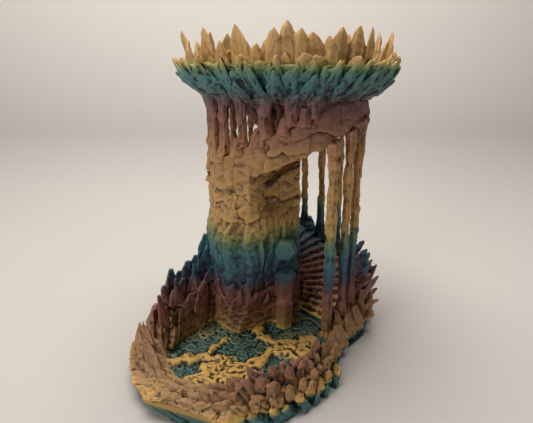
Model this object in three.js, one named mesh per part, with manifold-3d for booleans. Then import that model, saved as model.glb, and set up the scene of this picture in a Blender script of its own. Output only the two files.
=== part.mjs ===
// A cavern dice tower: a ring of dripstone columns carries a crystal crown with a funnel in it, and a
// spiral stair inside the ring drops dice into a walled tray of rock pools at the tower's foot.
// Millimetres, +Z up. The origin is on the ring's axis at the bottom face, and the tray lies towards -Y.
import * as THREE from "three";
import { mergeVertices } from "three/addons/utils/BufferGeometryUtils.js";
import Module from "manifold-3d";

const wasm = await Module();
wasm.setup();

// ---- Driving dimensions -------------------------------------------------------------------------
const GAP = 0.3; // between neighbours that don't share a face
const SLAB = 7; // base slab thickness
const RING = 61.6; // radius of the circle that the columns stand on
const STAIR_OUT = 58; // outer radius of the stair
const SHELL_OUT = 64; // outer radius of the wall under the stair, at its top
const PILLAR = 11.5; // radius of the central pillar
const NECK = 193; // underside of the crown
const CROWN_RIM = 217; // flat rim of the crown's bowl
const RIM_IN = 66;
const RIM_OUT = 79.5;
const TRAY = new THREE.Vector2(0, -86); // centre of the tray
const FLOOR_TOP = 11; // tray floor

// The stair runs clockwise downwards. Angles are in degrees about the tower's axis, from +X.
const STAIR_TOP_ANGLE = 24;
const STAIR_PER_DEGREE = 0.478;
const STAIR_START = 203.6; // height of the top tread
const STEP_ANGLE = 8.5;
const STEPS = 48;
const FLIGHTS = 6;
const BRIDGE_END = -108; // the stair is a free bridge from its top to here, and then stands on a wall
const SOFFIT_IN = 13; // thickness of the stair under a tread, at its inner edge
const SOFFIT_OUT = 6; // and at its outer edge
const GROUND = SLAB + GAP; // underside of whatever stands on the slab
const CORE = 30; // a radius inside every wall and column, where cutting zones start
const FAR = 125; // a radius outside everything

const rad = THREE.MathUtils.degToRad;
const lerp = THREE.MathUtils.lerp;
const clamp = THREE.MathUtils.clamp;
const stairHeight = (angle) => STAIR_START - STAIR_PER_DEGREE * (STAIR_TOP_ANGLE - angle);
const polar = (radius, angle, z, centre = { x: 0, y: 0 }) =>
  new THREE.Vector3(centre.x + radius * Math.cos(rad(angle)), centre.y + radius * Math.sin(rad(angle)), z);

// A repeatable number from -1 to 1.
function scatter(i, k = 0) {
  const s = Math.sin(i * 12.9898 + k * 78.233) * 43758.5453;
  return 2 * (s - Math.floor(s)) - 1;
}

// ---- Materials ----------------------------------------------------------------------------------
// Colour bands follow the height, as they do in a print from rainbow filament.
const paint = (color) => new THREE.MeshStandardMaterial({ color, roughness: 0.6, metalness: 0 });
const TEAL = paint(0x3f7f86);
const GOLD = paint(0xb48a4f);
const PURPLE = paint(0x7d5160);

// ---- Solids -------------------------------------------------------------------------------------
// A three.js geometry as a manifold-3d solid with its faces pointing out.
function solid(geometry) {
  const bare = geometry.index ? geometry.toNonIndexed() : geometry.clone();
  for (const name of Object.keys(bare.attributes)) if (name !== "position") bare.deleteAttribute(name);
  const merged = mergeVertices(bare, 1e-4);
  const build = (triangles) =>
    new wasm.Manifold(
      new wasm.Mesh({ numProp: 3, vertProperties: merged.attributes.position.array, triVerts: triangles }),
    );
  const triangles = new Uint32Array(merged.index.array);
  const made = build(triangles);
  if (made.volume() >= 0) return made;
  for (let i = 0; i < triangles.length; i += 3)
    [triangles[i + 1], triangles[i + 2]] = [triangles[i + 2], triangles[i + 1]];
  return build(triangles);
}

const union = (solids) => solids.reduce((all, next) => all.add(next));

// The largest connected body of a solid, without the crumbs that a cut can leave.
const main = (whole) =>
  whole.decompose().reduce((best, next) => (next.volume() > best.volume() ? next : best));

const group = new THREE.Group();
const made = new Map();

function add(name, shape, material) {
  const body = main(shape);
  const data = body.getMesh();
  const position = new Float32Array(data.numVert * 3);
  for (let i = 0; i < data.numVert; i++)
    position.set(data.vertProperties.subarray(i * data.numProp, i * data.numProp + 3), i * 3);
  const geometry = new THREE.BufferGeometry()
    .setAttribute("position", new THREE.BufferAttribute(position, 3))
    .setIndex(new THREE.BufferAttribute(data.triVerts, 1));
  geometry.computeVertexNormals();
  const mesh = new THREE.Mesh(geometry, material);
  mesh.name = name;
  group.add(mesh);
  made.set(name, body);
  return body;
}

// Cuts solids that are already there out of a new one, with a gap round each.
const SHIFTS = [
  [0, 0, 0],
  [GAP, 0, 0],
  [-GAP, 0, 0],
  [0, GAP, 0],
  [0, -GAP, 0],
  [0, 0, GAP],
  [0, 0, -GAP],
];
function clear(shape, names = /./) {
  const mine = shape.boundingBox();
  const meets = (other) => {
    const its = other.boundingBox();
    return [0, 1, 2].every((k) => its.min[k] - 1 < mine.max[k] && its.max[k] + 1 > mine.min[k]);
  };
  const named = [...made].filter(([name]) => names.test(name)).map(([, other]) => other);
  const cutters = named.filter(meets);
  if (!cutters.length) return shape;
  const copies = SHIFTS.flatMap((shift) => cutters.map((other) => other.translate(shift)));
  const body = wasm.Manifold.difference([shape, ...copies]);
  copies.forEach((copy) => copy.delete());
  return body;
}

// A closed solid through rings of points, with flat ends. Each ring has the same number of points.
function loft(rings, capShape) {
  const positions = [];
  const sides = rings[0].length;
  const put = (...points) => points.forEach((p) => positions.push(p.x, p.y, p.z));
  for (let i = 0; i + 1 < rings.length; i++)
    for (let j = 0; j < sides; j++) {
      const [a, b] = [rings[i][j], rings[i][(j + 1) % sides]];
      const [c, d] = [rings[i + 1][j], rings[i + 1][(j + 1) % sides]];
      put(a, b, d, a, d, c);
    }
  const shape = capShape ?? rings[0].map((_, j) => new THREE.Vector2(...ringCorner(j, sides)));
  const turn = Math.sign(THREE.ShapeUtils.area(shape));
  const [first, last] = [rings[0], rings[rings.length - 1]];
  for (const [j, m, n] of THREE.ShapeUtils.triangulateShape(shape, [])) {
    const same = Math.sign(THREE.ShapeUtils.area([shape[j], shape[m], shape[n]])) === turn;
    const [k, l] = same ? [m, n] : [n, m];
    put(first[j], first[l], first[k], last[j], last[k], last[l]);
  }
  const geometry = new THREE.BufferGeometry();
  geometry.setAttribute("position", new THREE.Float32BufferAttribute(positions, 3));
  return geometry;
}

const ringCorner = (j, sides) => [Math.cos((2 * Math.PI * j) / sides), Math.sin((2 * Math.PI * j) / sides)];

// A solid swept round the tower's axis: section(angle) is its outline there, as [radius, height] points.
function sweep(section, from, to, steps, centre) {
  const angles = Array.from({ length: steps + 1 }, (_, i) => lerp(from, to, i / steps));
  const rings = angles.map((angle) => section(angle).map(([r, z]) => polar(r, angle, z, centre)));
  const cap = section(from).map(([r, z]) => new THREE.Vector2(r, z));
  return solid(loft(rings, cap));
}

// A crystal blade along a line of points. widths and depths are its size across and through at each
// point, and across is the direction of its width.
function blade(points, widths, depths, across, sides = 5) {
  const rings = points.map((point, i) => {
    const ahead = points[Math.min(i + 1, points.length - 1)];
    const behind = points[Math.max(i - 1, 0)];
    const along = ahead.clone().sub(behind).normalize();
    const through = along.clone().cross(across).normalize();
    const flat = through.clone().cross(along).normalize();
    return Array.from({ length: sides }, (_, j) => {
      const [c, s] = ringCorner(j, sides);
      return point
        .clone()
        .addScaledVector(flat, (c * widths[i]) / 2)
        .addScaledVector(through, (s * depths[i]) / 2);
    });
  });
  return solid(loft(rings));
}

// A straight crystal from foot to tip. blunt is its width at the tip as a share of its widest.
function crystal(foot, tip, width, depth, across, blunt = 0.18) {
  const shares = [0, 0.45, 1];
  const swell = [0.92, 1, blunt];
  return blade(
    shares.map((t) => foot.clone().lerp(tip, t)),
    swell.map((s) => s * width),
    swell.map((s) => s * depth),
    across,
  );
}

// ---- Base and tray ------------------------------------------------------------------------------
// Plan radii of the tray's outer edge and of its floor about the tray's centre, by angle.
const TRAY_PLAN = [
  [-222, 79, 62],
  [-205, 77, 54],
  [-180, 77, 59],
  [-156, 82, 63],
  [-140, 77, 60],
  [-125, 73, 58],
  [-105, 71, 54],
  [-80, 62, 50],
  [-50, 54.5, 44],
  [-20, 54.5, 42],
  [8, 62, 46],
  [25, 68, 50],
  [45, 84, 60],
];
function trayRadius(angle, column) {
  const i = clamp(TRAY_PLAN.findIndex((row) => row[0] >= angle), 1, TRAY_PLAN.length - 1);
  const [low, high] = [TRAY_PLAN[i - 1], TRAY_PLAN[i]];
  return lerp(low[column], high[column], (angle - low[0]) / (high[0] - low[0]));
}
const trayOuter = (angle) => trayRadius(angle, 1);
const trayInner = (angle) => trayRadius(angle, 2);

function slab(outline, bottom, top) {
  const shape = new THREE.Shape(outline.map((p) => new THREE.Vector2(p.x, p.y)));
  const geometry = new THREE.ExtrudeGeometry(shape, { depth: top - bottom, bevelEnabled: false });
  return solid(geometry.translate(0, 0, bottom));
}

const TOWER_EDGE = 75.5; // radius of the slab under the tower
const EDGE_ROUGHNESS = 1.6;
const towerOutline = Array.from({ length: 36 }, (_, i) =>
  polar(TOWER_EDGE + EDGE_ROUGHNESS * scatter(i, 3), i * 10, 0),
);
const trayOutline = Array.from({ length: 27 }, (_, i) => {
  const angle = lerp(-220, 40, i / 26);
  return polar(trayOuter(angle) + 0.9 * scatter(i, 5), angle, 0, TRAY);
});
const traySlab = slab([...trayOutline, new THREE.Vector3(0, 0, 0)], 0, SLAB);
add("base_slab", slab(towerOutline, 0, SLAB).add(traySlab), TEAL);

// Floor of the tray, with its rock pools sunk into it.
const FLOOR_MIDDLE = new THREE.Vector2(4, -70);
const FLOOR_MARGIN = 0.5; // between the floor and the rocks round it
const grown = (outline) =>
  outline.map((p) => {
    const arm = new THREE.Vector2(p.x, p.y).sub(FLOOR_MIDDLE);
    return arm.setLength(arm.length() + FLOOR_MARGIN).add(FLOOR_MIDDLE);
  });
const floorOutline = [
  ...Array.from({ length: 18 }, (_, i) => {
    const angle = lerp(-205, 30, i / 17);
    return polar(trayInner(angle), angle, 0, TRAY);
  }),
  new THREE.Vector3(45, -34, 0),
  new THREE.Vector3(30, -20, 0),
  new THREE.Vector3(20, -24, 0),
  new THREE.Vector3(10, -30, 0),
  new THREE.Vector3(-4, -38, 0),
  new THREE.Vector3(-20, -56, 0),
  new THREE.Vector3(-34, -63, 0),
];
const POOLS = [
  // centre x, y, half width, half depth, turn in degrees
  [22, -45, 20, 9, 25],
  [-8, -80, 17, 15, 10],
  [-38, -98, 15, 22, -20],
  [27, -84, 17, 12, 30],
  [-12, -128, 22, 7, -5],
];
const POOL_DEPTH = 1.6;
const OVERCUT = 2; // how far a cutting solid stands out of what it cuts
const pools = POOLS.map(([x, y, a, b, turn]) =>
  solid(
    new THREE.CylinderGeometry(1, 0.9, POOL_DEPTH + OVERCUT, 10)
      .rotateX(Math.PI / 2)
      .scale(a, b, 1)
      .rotateZ(rad(turn))
      .translate(x, y, FLOOR_TOP + (OVERCUT - POOL_DEPTH) / 2),
  ),
);
const poolFloor = slab(floorOutline, SLAB, FLOOR_TOP).subtract(union(pools));

// ---- Pillar, capital and stair ------------------------------------------------------------------
const PILLAR_PROFILE = [
  [0, GROUND],
  [17, GROUND],
  [13, 30],
  [PILLAR, 70],
  [PILLAR - 0.8, 110],
  [PILLAR, 150],
  [PILLAR, NECK - GAP],
  [0, NECK - GAP],
];
const lathe = (points, sides) => {
  const outline = points.map(([r, z]) => new THREE.Vector2(r, z));
  return solid(new THREE.LatheGeometry(outline, sides).rotateX(Math.PI / 2));
};
const pillar = lathe(PILLAR_PROFILE, 14);
const grownPillar = PILLAR_PROFILE.map(([r, z]) => [r && r + 1.5 * GAP, z]);
const pillarZone = lathe(grownPillar, 14);
add("central_pillar", pillar, GOLD);

// The capital flares from the pillar to the crown everywhere but over the stair's first turn.
const CAPITAL_FOOT = 154;
const CAPITAL_TOP = 42;
const CAPITAL_FROM = 32;
const CAPITAL_TO = 305;
const capitalShare = (z) => clamp((z - CAPITAL_FOOT) / (NECK - CAPITAL_FOOT), 0, 1);
const capitalRadius = (z) => lerp(PILLAR, CAPITAL_TOP, capitalShare(z));
const capital = sweep(
  () => [
    [PILLAR + GAP, CAPITAL_FOOT],
    [capitalRadius(NECK), NECK - GAP],
    [PILLAR + GAP, NECK - GAP],
  ],
  CAPITAL_FROM,
  CAPITAL_TO,
  20,
);
add("pillar_capital", capital.subtract(pillarZone), PURPLE);

const CAPITAL_MARGIN = 6; // degrees past the capital's ends where the stair still keeps clear of it
const underCapital = (angle) => {
  const turned = THREE.MathUtils.euclideanModulo(angle, 360);
  return turned > CAPITAL_FROM - CAPITAL_MARGIN && turned < CAPITAL_TO + CAPITAL_MARGIN;
};
// Inner radius of the mouth through which the stair's top comes up into the crown.
const MOUTH_IN = PILLAR + 9;
const TREAD_MARGIN = 3; // the inner radius is taken this far above the treads
const FOOT_HEIGHT = 40; // below this the pillar's foot widens
const FOOT_MARGIN = 4;
function stairIn(angle) {
  const z = stairHeight(angle) + TREAD_MARGIN;
  if (z > NECK - TREAD_MARGIN) return MOUTH_IN + GAP;
  const post = underCapital(angle) ? Math.max(PILLAR, capitalRadius(z)) : PILLAR;
  return post + 2 * GAP + (z < FOOT_HEIGHT ? FOOT_MARGIN : 0);
}

// One flight of the stair: level treads over a sloping soffit. A riser leans by a hair, so that its foot
// and its head are rings of their own.
const RISER_LEAN = 0.03;
function flight(first, count) {
  const rings = [];
  for (let i = first; i < first + count; i++)
    for (const end of [0, 1]) {
      const angle = STAIR_TOP_ANGLE - (i + end) * STEP_ANGLE;
      const tread = stairHeight(STAIR_TOP_ANGLE - (i + 0.5) * STEP_ANGLE);
      const soffit = stairHeight(angle);
      const outermost = end ? i === first + count - 1 : i === first;
      const lean = outermost ? 0 : end ? RISER_LEAN : -RISER_LEAN;
      const inner = stairIn(angle);
      rings.push([
        polar(inner, angle + lean, tread),
        polar(inner, angle + lean, Math.max(soffit - SOFFIT_IN, GROUND)),
        polar(STAIR_OUT, angle + lean, Math.max(soffit - SOFFIT_OUT, GROUND)),
        polar(STAIR_OUT, angle + lean, tread),
      ]);
    }
  return solid(loft(rings));
}
const perFlight = STEPS / FLIGHTS;
const flights = Array.from({ length: FLIGHTS }, (_, i) => flight(i * perFlight, perFlight));
flights.forEach((treads, i) => add(`stair_flight_${i + 1}`, treads.subtract(pillarZone), GOLD));

// ---- Walls --------------------------------------------------------------------------------------
// The fascia guards the outer edge of the bridge, and dies into the crown.
const FASCIA = 18; // height above the treads
const FASCIA_LEAST = 2; // where it dies into the crown
const FASCIA_BULGE = 0.6;
const fasciaTop = (angle) => Math.min(stairHeight(angle) + FASCIA, NECK - GAP);
const fasciaFoot = (angle) => Math.min(stairHeight(angle) - SOFFIT_OUT, fasciaTop(angle) - FASCIA_LEAST);
const fasciaSection = (angle) => {
  const top = fasciaTop(angle);
  const foot = fasciaFoot(angle);
  return [
    [STAIR_OUT + GAP, foot],
    [SHELL_OUT - 2, foot - 0.5],
    [SHELL_OUT + FASCIA_BULGE, lerp(foot, top, 0.35)],
    [SHELL_OUT - 0.2, top],
    [STAIR_OUT + GAP, top],
  ];
};
add("stair_fascia_right", sweep(fasciaSection, -2, -47, 9), PURPLE);
add("stair_fascia_left", sweep(fasciaSection, -47, BRIDGE_END, 10), PURPLE);

// The wall under the stair, from the bridge's end round to the stair's foot. It rises above the treads as
// a parapet at first, and then only as a kerb for the columns to stand on.
const KERB = 2.5;
const PARAPET_END = -178; // the parapet is down to the kerb from here on
const PARAPET_RUN = 45;
const parapet = (angle) => lerp(KERB, FASCIA, clamp((angle - PARAPET_END) / PARAPET_RUN, 0, 1));
const wallTop = (angle) => stairHeight(angle) + parapet(angle);
const WALL_FLARE = 6; // how far the wall's foot stands out from its top
const WALL_ROUGHNESS = 1.2;
const WALL_BULGE = 4; // the front of the wall swells by this much
const BULGE_FROM = -150;
const BULGE_RUN = 40;
const wallSection = (angle) => {
  const top = wallTop(angle);
  const rough = WALL_ROUGHNESS * scatter(Math.round(angle / 6), 7);
  const bulge = WALL_BULGE * clamp((angle - BULGE_FROM) / BULGE_RUN, 0, 1);
  return [
    [STAIR_OUT + GAP, GROUND],
    [SHELL_OUT + WALL_FLARE + rough, GROUND],
    [SHELL_OUT + 2 + bulge, lerp(GROUND, top, 0.3)],
    [SHELL_OUT + 1 + bulge - rough, lerp(GROUND, top, 0.65)],
    [SHELL_OUT, top],
    [STAIR_OUT + GAP, top],
  ];
};
// The wall and what is inside it, with a gap outside it.
const wallZoneSection = (angle) => {
  const outside = wallSection(angle).slice(1, 5).map(([r, z]) => [r + 1.5 * GAP, z]);
  const [foot, top] = [outside[0], outside[3]];
  return [
    [CORE, foot[1] - OVERCUT],
    [foot[0], foot[1] - OVERCUT],
    ...outside,
    [top[0], top[1] + GAP],
    [CORE, top[1] + GAP],
  ];
};
const WALLS = [
  ["wall_front", BRIDGE_END, -165],
  ["wall_west", -165, -235],
  ["wall_north", -235, -305],
  ["wall_east", -305, -375],
];
const WALL_STEPS = 11;
WALLS.forEach(([name, from, to]) => add(name, sweep(wallSection, from, to, WALL_STEPS), GOLD));
const wallZone = union(WALLS.map(([, from, to]) => sweep(wallZoneSection, from, to, WALL_STEPS)));

// The bulkhead closes the space under the stair and is the left side of the dice's way out.
// Its plan at the foot and at the top. The first and last points are beside the wall's end.
const BULKHEAD_FOOT = [
  [-20.4, -64.5],
  [-15, -56],
  [-1, -39],
  [12, -34.5],
  [24, -28],
  [17, -19],
  [0, -30],
  [-17.2, -54.5],
];
const BULKHEAD_HEAD = [
  [-20.4, -64.5],
  [-7, -65.5],
  [3, -48],
  [12, -33],
  [18.5, -21],
  [13, -15],
  [0, -30],
  [-17.2, -54.5],
];
const BULKHEAD_TURN = 70; // the height over which the plan changes
const bulkheadPlan = (z) =>
  BULKHEAD_FOOT.map(([x, y], i) => {
    const t = clamp((z - SLAB) / BULKHEAD_TURN, 0, 1);
    return new THREE.Vector2(lerp(x, BULKHEAD_HEAD[i][0], t), lerp(y, BULKHEAD_HEAD[i][1], t));
  });
const BULKHEAD_TOP = stairHeight(-62) - SOFFIT_IN - 1;
const bulkheadRings = [GROUND, 30, 52, SLAB + BULKHEAD_TURN, BULKHEAD_TOP].map((z) =>
  bulkheadPlan(z).map((p) => new THREE.Vector3(p.x, p.y, z)),
);
const bulkheadCap = bulkheadPlan(BULKHEAD_TOP);

// ---- Columns ------------------------------------------------------------------------------------
// [angle on the ring, middle radius]. Each stands on what is under it and ends under what is over it.
const COLUMNS = [
  [-56, 3.8],
  [-70, 4.2],
  [-87, 4.0],
  [-103, 3.1],
  [-119, 3.2],
  [-134, 3.2],
  [-150, 3.1],
  [-166, 3.3],
  [178, 3.1],
  [159, 3.3],
  [142, 3.4],
  [125, 3.2],
  [108, 3.3],
  [91, 3.3],
  [75, 3.3],
  [56, 3.0],
  [28, 3.1],
  [-13, 3.7],
  [-25, 3.4],
  [-39.5, 4.4],
];
const COLUMN_SIDES = 5;
const COLUMN_WIDEST = 6.2; // no foot or head is wider than this
const KNOB_SPACING = 24;
const FOOT_FLARE = { more: 0.85, over: 7 }; // more by this share at the very end, over about this length
const HEAD_FLARE = { more: 0.7, over: 6 };
const BOW = 0.5; // how far a column's middle strays from the ring
const SWAY = 1.1; // and round it, in degrees

function column(index, angle, radius, foot, head) {
  const length = head - foot;
  const bands = Math.max(3, Math.round(length / KNOB_SPACING));
  const flareOf = (flare, distance) => flare.more * Math.exp(-distance / flare.over);
  const rings = [];
  for (let i = 0; i <= bands; i++) {
    const t = i / bands;
    const flare = 1 + flareOf(FOOT_FLARE, t * length) + flareOf(HEAD_FLARE, (1 - t) * length);
    const knob = i % bands ? 1 + 0.14 * scatter(index * 31 + i, 1) : 1;
    const middle = Math.sin(Math.PI * t);
    const reach = RING + BOW * middle * scatter(index, i);
    const turned = angle + SWAY * middle * scatter(index, i + 40);
    const centre = polar(reach, turned, lerp(foot, head, t));
    rings.push(
      Array.from({ length: COLUMN_SIDES }, (_, j) => {
        const [c, s] = ringCorner(j, COLUMN_SIDES);
        const size = Math.min(radius * flare * knob, COLUMN_WIDEST);
        return new THREE.Vector3(centre.x + c * size, centre.y + s * size, centre.z);
      }),
    );
  }
  return solid(loft(rings));
}

// Where a column stands and what it carries, as heights that change with the angle.
const FASCIA_FROM = -2; // the fascia runs from here to the bridge's end
const OPEN_TO = -45; // columns from the fascia's start to here stand in front of the dice's way out
const WALL_END = -375;
function columnEnds(angle) {
  const overBridge = angle <= OPEN_TO && angle > BRIDGE_END;
  const under = angle > 0 ? angle - 360 : angle;
  const turn = under > BRIDGE_END ? under - 360 : under;
  const onSlab = turn < WALL_END;
  const underFascia = angle < FASCIA_FROM && angle > OPEN_TO;
  const shift = turn - angle;
  return {
    foot: overBridge ? fasciaTop : onSlab ? () => SLAB : (a) => wallTop(a + shift),
    head: underFascia ? (a) => fasciaFoot(a) - 0.5 : () => NECK,
  };
}

const SINK = 4; // how far a column is drawn into its neighbours before their zones are cut out of it
const ZONE_HEIGHT = 30;
const ZONE_SPREAD = 12; // degrees to each side of a column
// A ring sector between two radii and two heights, which may follow the angle.
const block = (inner, outer, low, high, from, to, steps) =>
  sweep(
    (angle) => [
      [inner, low(angle)],
      [outer, low(angle)],
      [outer, high(angle)],
      [inner, high(angle)],
    ],
    from,
    to,
    steps,
  );
// Everything between two heights near one angle.
const zone = (angle, low, high) =>
  block(CORE, 85, low, high, angle - ZONE_SPREAD, angle + ZONE_SPREAD, 8);

// ---- Crown --------------------------------------------------------------------------------------
// Underside of the bowl, as [radius, height]. The leaves follow it.
const BOWL = [
  [57.5, NECK],
  [62.5, 197.5],
  [70, 203.5],
  [76, 210.5],
  [RIM_OUT, CROWN_RIM],
];
const bowlBlank = lathe([[0, NECK], ...BOWL, [0, CROWN_RIM]], 30);

// The funnel is an oblique cone: its low point is over the stair's top.
const MOUTH_ANGLE = -14;
const MOUTH_REACH = 38; // how far the low point is from the axis
const funnelRings = [
  [1, CROWN_RIM + OVERCUT],
  [1, CROWN_RIM],
  [0.62, CROWN_RIM - 7.5],
  [0.2, CROWN_RIM - 14],
].map(([share, z]) => {
  const low = polar(MOUTH_REACH * (1 - share), MOUTH_ANGLE, 0);
  return Array.from({ length: 24 }, (_, i) => polar(RIM_IN * share, i * 15, z, low));
});
const funnel = solid(loft(funnelRings));

// The mouth in the bowl's floor, where the stair comes up through it.
const MOUTH_FROM = STAIR_TOP_ANGLE + 1;
const MOUTH_TO = -52;
const always = (value) => () => value;
const mouth = block(
  MOUTH_IN,
  STAIR_OUT + GAP,
  always(NECK - OVERCUT),
  always(CROWN_RIM + OVERCUT),
  MOUTH_TO,
  MOUTH_FROM,
  10,
);
add("crown_bowl", bowlBlank.subtract(funnel).subtract(mouth), PURPLE);

const outwards = (angle) => new THREE.Vector3(Math.cos(rad(angle)), Math.sin(rad(angle)), 0);
const sideways = (angle) => new THREE.Vector3(-Math.sin(rad(angle)), Math.cos(rad(angle)), 0);

// The tall crystals that stand on the rim, each as
// [angle, height above the rim, width, lean outwards, lean sideways].
const SPIKES = [
  [-155, 24, 13, 9, 2],
  [-137, 17, 9, 4, -3],
  [-117, 24, 14, 3, 1],
  [-105, 15, 9, 5, 4],
  [-94, 24.5, 15, 3, 0],
  [-85, 13, 9, 4, 3],
  [-76, 22, 12, 3, 2],
  [-68.5, 26, 12, 0, 0],
  [-62, 21.5, 11, 3, 0],
  [-53, 19.5, 12, 3, -5],
  [-43, 22.5, 14, 4, 1],
  [-32, 23.5, 12, 4, 0],
  [-22, 23, 12, 5, -3],
  [-8, 16, 10, 5, 2],
  [8, 22, 13, 4, 0],
  [24, 18, 11, 4, 3],
  [39, 24, 13, 3, 0],
  [54, 17, 10, 4, -3],
  [68, 25, 13, 3, 1],
  [83, 24, 12, 2, 0],
  [97, 25.5, 12, 3, 2],
  [112, 17, 10, 4, -2],
  [127, 23, 13, 3, 0],
  [142, 21, 12, 4, 2],
  [158, 25, 13, 3, 0],
  [173, 26, 12, 3, 1],
  [-170, 18, 10, 5, -2],
];
const SPIKE_RING = 72.5; // radius of the circle that they stand on
const SPIKE_DEPTH = 6.5;

function spike([angle, height, width, outward, sideward]) {
  const foot = polar(SPIKE_RING, angle, CROWN_RIM + GAP);
  const tip = foot
    .clone()
    .addScaledVector(outwards(angle), outward)
    .addScaledVector(sideways(angle), sideward)
    .setZ(CROWN_RIM + height);
  return crystal(foot, tip, width, SPIKE_DEPTH, sideways(angle));
}

// The leaves that clothe the bowl, each as
// [angle, height of the tip above the rim, width, how far the tip stands out].
const LEAF_COUNT = 28;
const LEAF_DEPTH = 5;
const LEAF_WIDTH = 16;
const LEAF_RISE = 5;
const LEAF_STAND = 3.2;
const WIDE_SIDE = 200; // the leaves stand out furthest on this side
const WIDE_MORE = 2.4;
const LEAVES = Array.from({ length: LEAF_COUNT }, (_, i) => {
  const angle = ((i - LEAF_COUNT / 2) * 360) / LEAF_COUNT + 2.2 * scatter(i, 11);
  const rise = LEAF_RISE + 3.5 * scatter(i, 12);
  const width = LEAF_WIDTH + 2.5 * scatter(i, 13);
  const stand = LEAF_STAND + WIDE_MORE * Math.cos(rad(angle - WIDE_SIDE)) + 0.8 * scatter(i, 14);
  return [angle, rise, width, stand];
});

function leaf([angle, rise, width, stand]) {
  const half = LEAF_DEPTH / 2;
  const path = [[61, NECK + 1], ...BOWL.slice(2, 4).map(([r, z]) => [r + half, z - half])];
  path.push([RIM_OUT + half, CROWN_RIM - 2], [RIM_OUT + 2 + stand, CROWN_RIM + rise]);
  return blade(
    path.map(([r, z], i) => polar(r, angle + 0.7 * i * scatter(Math.round(angle), 2), z)),
    [0.6, 1, 0.98, 0.72, 0.16].map((s) => s * width),
    [0.8, 1, 1, 0.8, 0.3].map((s) => s * LEAF_DEPTH),
    sideways(angle),
    4,
  );
}

// A skin outside the bowl, which holds one quarter's leaves together, and a kerb for the tall crystals.
const QUARTER_STEPS = 9;
const SKIN_IN = 0.8;
const SKIN_OUT = 2.5;
const leafBand = (from, to) => {
  const middle = BOWL.slice(1, 4);
  const inner = middle.map(([r, z]) => [r + SKIN_IN, z - SKIN_IN]);
  const outer = middle.map(([r, z]) => [r + SKIN_OUT, z - SKIN_OUT]).reverse();
  return sweep(() => [...inner, ...outer], from, to, QUARTER_STEPS);
};
const spikeBand = (from, to) =>
  block(
    SPIKE_RING - 4,
    SPIKE_RING + 5,
    always(CROWN_RIM + GAP),
    always(CROWN_RIM + KERB),
    from,
    to,
    QUARTER_STEPS,
  );
const bowlZone = lathe(
  [
    [0, NECK - GAP],
    ...BOWL.map(([r, z]) => [r + GAP, z - GAP]),
    [RIM_OUT + GAP, CROWN_RIM + GAP],
    [0, CROWN_RIM + GAP],
  ],
  30,
);
// A quarter of the space inside and outside the cone that parts the tall crystals from the leaves.
const CONE_FOOT = 77.5;
const CONE_HEAD = CONE_FOOT + 14;
const CONE_TOP = CROWN_RIM + 35;
const insideCone = (from, to) => {
  const outline = [
    [CORE, CROWN_RIM],
    [CONE_FOOT, CROWN_RIM],
    [CONE_HEAD, CONE_TOP],
    [CORE, CONE_TOP],
  ];
  return sweep(always(outline), from, to, QUARTER_STEPS);
};
const outsideCone = (from, to) => {
  const outline = [
    [CONE_FOOT - 20, NECK],
    [FAR, NECK],
    [FAR, CONE_TOP],
    [CONE_HEAD + GAP, CONE_TOP],
    [CONE_FOOT + GAP, CROWN_RIM],
    [CONE_FOOT - 20, CROWN_RIM],
  ];
  return sweep(always(outline), from, to, QUARTER_STEPS);
};
const QUARTERS = [
  ["front", -135, -45],
  ["east", -45, 45],
  ["back", 45, 135],
  ["west", 135, 225],
];
const within = (angle, from, to) => {
  const turned = from + THREE.MathUtils.euclideanModulo(angle - from, 360);
  return turned < to;
};
const STRADDLE = 10; // a blade up to this many degrees past a quarter's end still reaches into it
QUARTERS.forEach(([name, from, to]) => {
  const near = ([angle]) => within(angle, from - STRADDLE, to + STRADDLE);
  const crystals = union([spikeBand(from, to), ...SPIKES.filter(near).map(spike)]);
  add(`crown_crystals_${name}`, crystals.intersect(insideCone(from, to)), GOLD);
  const leaves = union([leafBand(from, to), ...LEAVES.filter(near).map(leaf)]);
  add(`crown_leaves_${name}`, leaves.intersect(outsideCone(from, to)).subtract(bowlZone), TEAL);
});

// ---- Columns, now that what they meet is there --------------------------------------------------
// An upright cylinder from z = 0 up.
const post = (radius, height, sides, x = 0, y = 0) => {
  const upright = new THREE.CylinderGeometry(radius, radius, height, sides).rotateX(Math.PI / 2);
  return solid(upright.translate(x, y, height / 2));
};
const stairCore = post(STAIR_OUT + GAP, 250, 60);
const besideStair = (angle) => angle > -50 && angle < 30;
COLUMNS.forEach(([angle, radius], i) => {
  const { foot, head } = columnEnds(angle);
  const whole = column(i, angle, radius, foot(angle) - SINK, head(angle) + SINK);
  const below = zone(angle, (a) => foot(a) - ZONE_HEIGHT, (a) => foot(a) + GAP);
  const above = zone(angle, (a) => head(a) - GAP, (a) => head(a) + ZONE_HEIGHT);
  const body = besideStair(angle) ? whole.subtract(stairCore) : whole;
  const overBridge = angle <= OPEN_TO && angle > BRIDGE_END;
  const number = String(i + 1).padStart(2, "0");
  add(`column_${number}`, body.subtract(below).subtract(above), overBridge ? PURPLE : GOLD);
});

// ---- Bulkhead, floor and rim rocks --------------------------------------------------------------
const overBulkhead = union([flights[0], flights[1], made.get("stair_fascia_left")]);
const bulkhead = solid(loft(bulkheadRings, bulkheadCap))
  .subtract(overBulkhead)
  .subtract(overBulkhead.translate(0, 0, -GAP))
  .subtract(pillarZone);
add("bulkhead", bulkhead, GOLD);

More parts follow.
